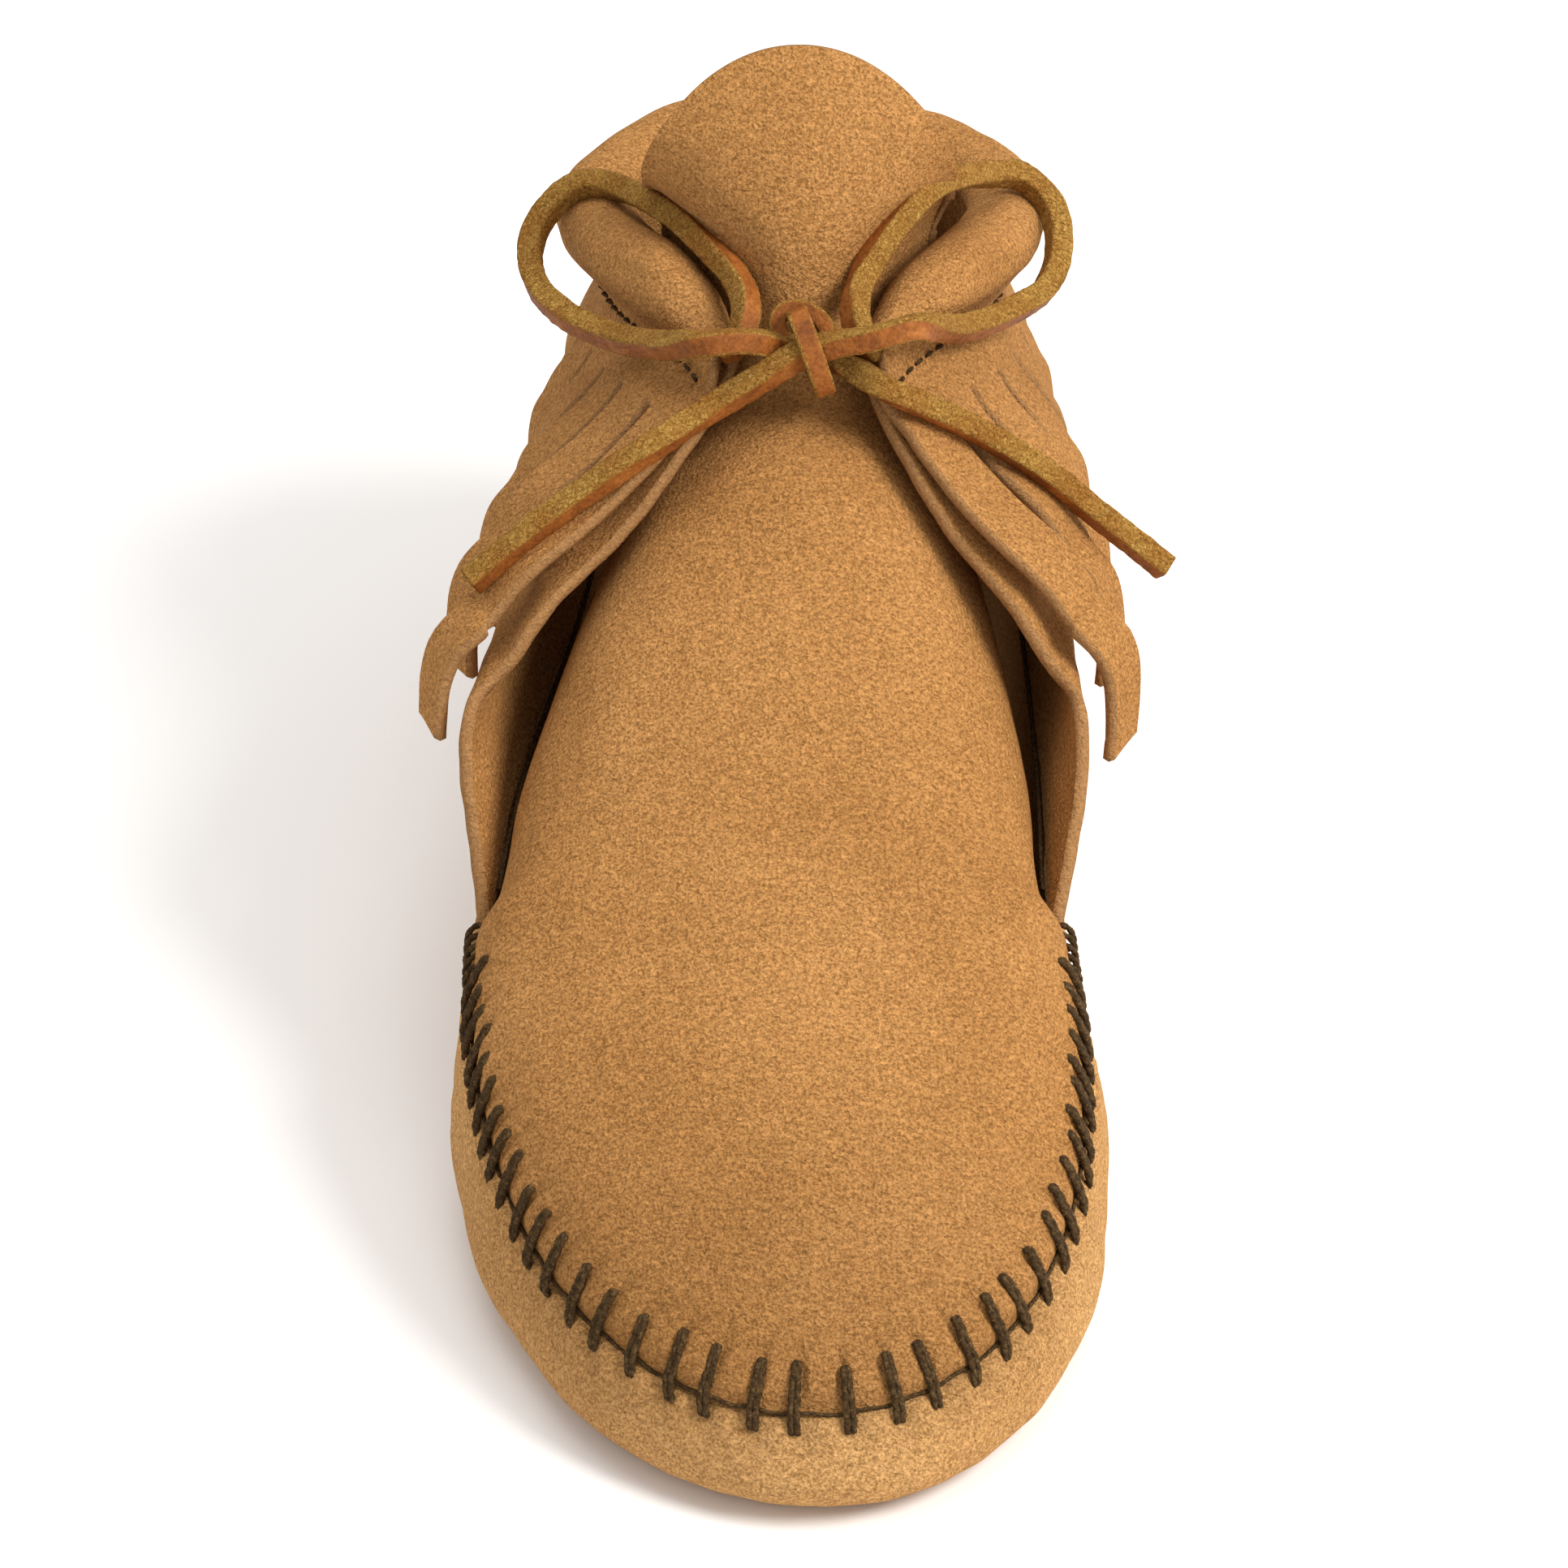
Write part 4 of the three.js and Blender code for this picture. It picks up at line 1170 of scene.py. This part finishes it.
def dashes(line, count, radius, lift):
    """Short stitches along a line, each rising out of the leather and going back in."""
    parts = []
    for index in range(count):
        share = np.linspace(index + 0.25, index + 0.75, 12) / count
        place = share * (len(line) - 1)
        arch = np.sin(np.linspace(0, np.pi, 12))[:, None]
        path = rows_at(line, place) + rows_at(lift, place) * (0.7 * arch - 0.65)
        parts.append(cable(path, radius, RUNNING_TWIST, sides=6))
    return merged(parts)


def make_side_threads(material, side, name):
    cuff = cuffs[side]
    u = np.linspace(0.03, 0.98, 400)
    v = 1 - STITCH_DROP / cuff.fall(u)
    stitches = dashes(cuff.hanging(u, v), COLLAR_STITCHES, COLLAR_RADIUS, cuff.outwards(u, v))
    thread_piece(f"collar_stitches_{name}", stitches, material, f"collar_thread_{name}")

    u = np.linspace(0.03, 0.97, 400)
    line = inside_line(cuff.quarter, side, u, np.zeros_like(u))
    twist = cable(line, INSIDE_RADIUS, INSIDE_TWIST)
    thread_piece(f"side_seam_twist_{name}", twist, material, f"side_seam_thread_{name}")

    turns = []
    for index in range(WHIP_TURNS):
        y = THROAT_Y - 2 - index * WHIP_PITCH
        seam = rim_point(rim_share(y), side)
        _, normal = plug_face(mix(seam[0], float(spine(y)), 0.03), y)
        out = unit(normal * (1, 1, 0.5))
        inwards = unit(np.cross(out, (0, 1, 0)))
        angle = np.linspace(-0.35 * np.pi, 1.35 * np.pi, 26)
        loop = seam - out * 0.2 + out * np.sin(angle)[:, None] * 1.5 + inwards * np.cos(angle)[:, None] * 2.4
        turns.append(cable(loop, 0.5, 3.0, seed=index))
    thread_piece(f"throat_whipping_{name}", merged(turns), material, f"throat_tack_{name}")


# --- Insole and the hidden length of lace ---


def insole_layer(name, inset, low, thickness, material, node):
    """A pad with softly rounded edges, following the sole's outline inside the walls."""
    u = np.linspace(0, 1, 240, endpoint=False)
    edge, inwards = sole_point(*round_the_shoe(u)), sole_inwards(u)
    profile = [(0.0, 0.5), (0.25, 0.12), (0.8, 0.0), (3.0, 0.0)]
    rings = []
    for rise, shares in ((0.0, profile[::-1]), (1.0, profile)):
        for depth, level in shares:
            height = level if rise == 0 else 1 - level
            ring = edge + inwards * (inset + depth)
            ring[:, 2] = low + thickness * height
            rings.append(ring)
    middles = []
    for share in (0.3, 0.6, 0.85):
        ring = mix(rings[-1], sole_centre, share)
        ring[:, 2] = low + thickness + ripple(ring, 22, 5) * 0.15
        middles.append(ring)
    rings += middles
    points = np.concatenate([*rings, [sole_centre + (0, 0, low)], [sole_centre + (0, 0, low + thickness)]])
    count, last = len(u), len(rings) - 1
    faces = []
    for r in range(last):
        for k in range(count):
            n = (k + 1) % count
            faces.append((r * count + k, r * count + n, (r + 1) * count + n, (r + 1) * count + k))
    for k in range(count):
        n = (k + 1) % count
        faces.append((len(points) - 2, n, k))
        faces.append((len(points) - 1, last * count + k, last * count + n))
    made = piece(name, points, faces, [material], "root", [node])


def make_hidden_lace(materials):
    """The lace inside the collar's tunnel, from eyelet to eyelet."""
    halves = []
    for side, _ in SIDES:
        u = np.linspace(0.07, 1, 160)
        base, up, out, radius = cuffs[side].roll_frame(u)
        halves.append(base + out * (radius - SUEDE)[:, None] - up * GAP)
    path = np.concatenate([halves[0], halves[1][::-1][1:]]) * MM
    ups = steady_ups(path, (0, 0, 1))
    thong("lace_in_tunnel", path, ups, HIDDEN_LACE_WIDTH, materials, 60, "lace_in_collar")


KNOT_AT = np.array([0.004, 0.0306, 0.0984])
KNOT_LEAN = 0.36
KNOT_TALL, KNOT_DEEP = 0.0059, 0.0042
ARCH_REACH, ARCH_RISE, ARCH_UP, ARCH_BACK = 0.0036, 0.0034, 0.0036, 0.0022


def make_knot(materials):
    """The strap round both strands, and the arch of the half knot behind its top."""
    upright = unit(np.array([-math.sin(KNOT_LEAN), TO_CAMERA[2], -TO_CAMERA[1]]))
    angle = np.linspace(0, 2 * np.pi, 121)
    ring = np.sin(angle)[:, None] * TO_CAMERA * KNOT_DEEP + np.cos(angle)[:, None] * upright * KNOT_TALL
    path = ring + KNOT_AT
    strap = thong_strip("knot_band", path, unit(-ring), (1.0, 0.62), materials)
    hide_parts("knot_wrap")

    angle = np.linspace(-0.15 * np.pi, 1.15 * np.pi, 60)
    across = np.array([1.0, 0, 0])
    arch = np.cos(angle)[:, None] * across * ARCH_REACH + np.sin(angle)[:, None] * upright * ARCH_RISE
    path = arch + KNOT_AT + upright * ARCH_UP - TO_CAMERA * ARCH_BACK
    thong_strip("knot_arch", path, -steady_ups(path, TO_CAMERA), (0.8, 0.8), materials)


def thong_strip(name, path, ups, proportions, materials):
    """A stretch of lace with flatter proportions; it closes on itself where its ends meet."""
    outline, grain = thong_outline(LACE_WIDTH)
    outline = np.repeat((outline * proportions)[None], len(path), axis=0)
    closed = np.allclose(path[0], path[-1])
    points, faces = sweep(path, outline, ups, ends=not closed)
    made = piece(name, points, faces, materials, "root", scale=1.0)
    show_grain(made, grain, len(path))
    return made


make_camera()
lace_faces = [grain_material(), flesh_material()]
make_lace(lace_faces)
make_studio()
upper = suede_material(
    "upper_suede", dark=(0.4, 0.186, 0.056), body=(0.455, 0.219, 0.069), pale=(0.51, 0.251, 0.083),
    cut=(0.34, 0.185, 0.08),
)
sole = suede_material(
    "sole_suede", dark=(0.5, 0.258, 0.09), body=(0.56, 0.3, 0.11), pale=(0.62, 0.345, 0.132),
    cut=(0.5, 0.28, 0.12),
)
thread = thread_material()
make_bottom(sole)
make_top(upper)
make_quarters(upper)
make_cuffs(upper)
make_threads(thread)
insole_layer("insole_pad", 10.0, 2.3, 3.0, foam_material(), "insole_foam")
cover = suede_material(
    "insole_suede", dark=(0.2, 0.1, 0.035), body=(0.3, 0.16, 0.055), pale=(0.36, 0.2, 0.07),
    cut=(0.4, 0.22, 0.08),
)
insole_layer("insole_suede_cover", 8.5, 5.6, 1.0, cover, "insole_cover")
make_hidden_lace(lace_faces)
make_knot(lace_faces)
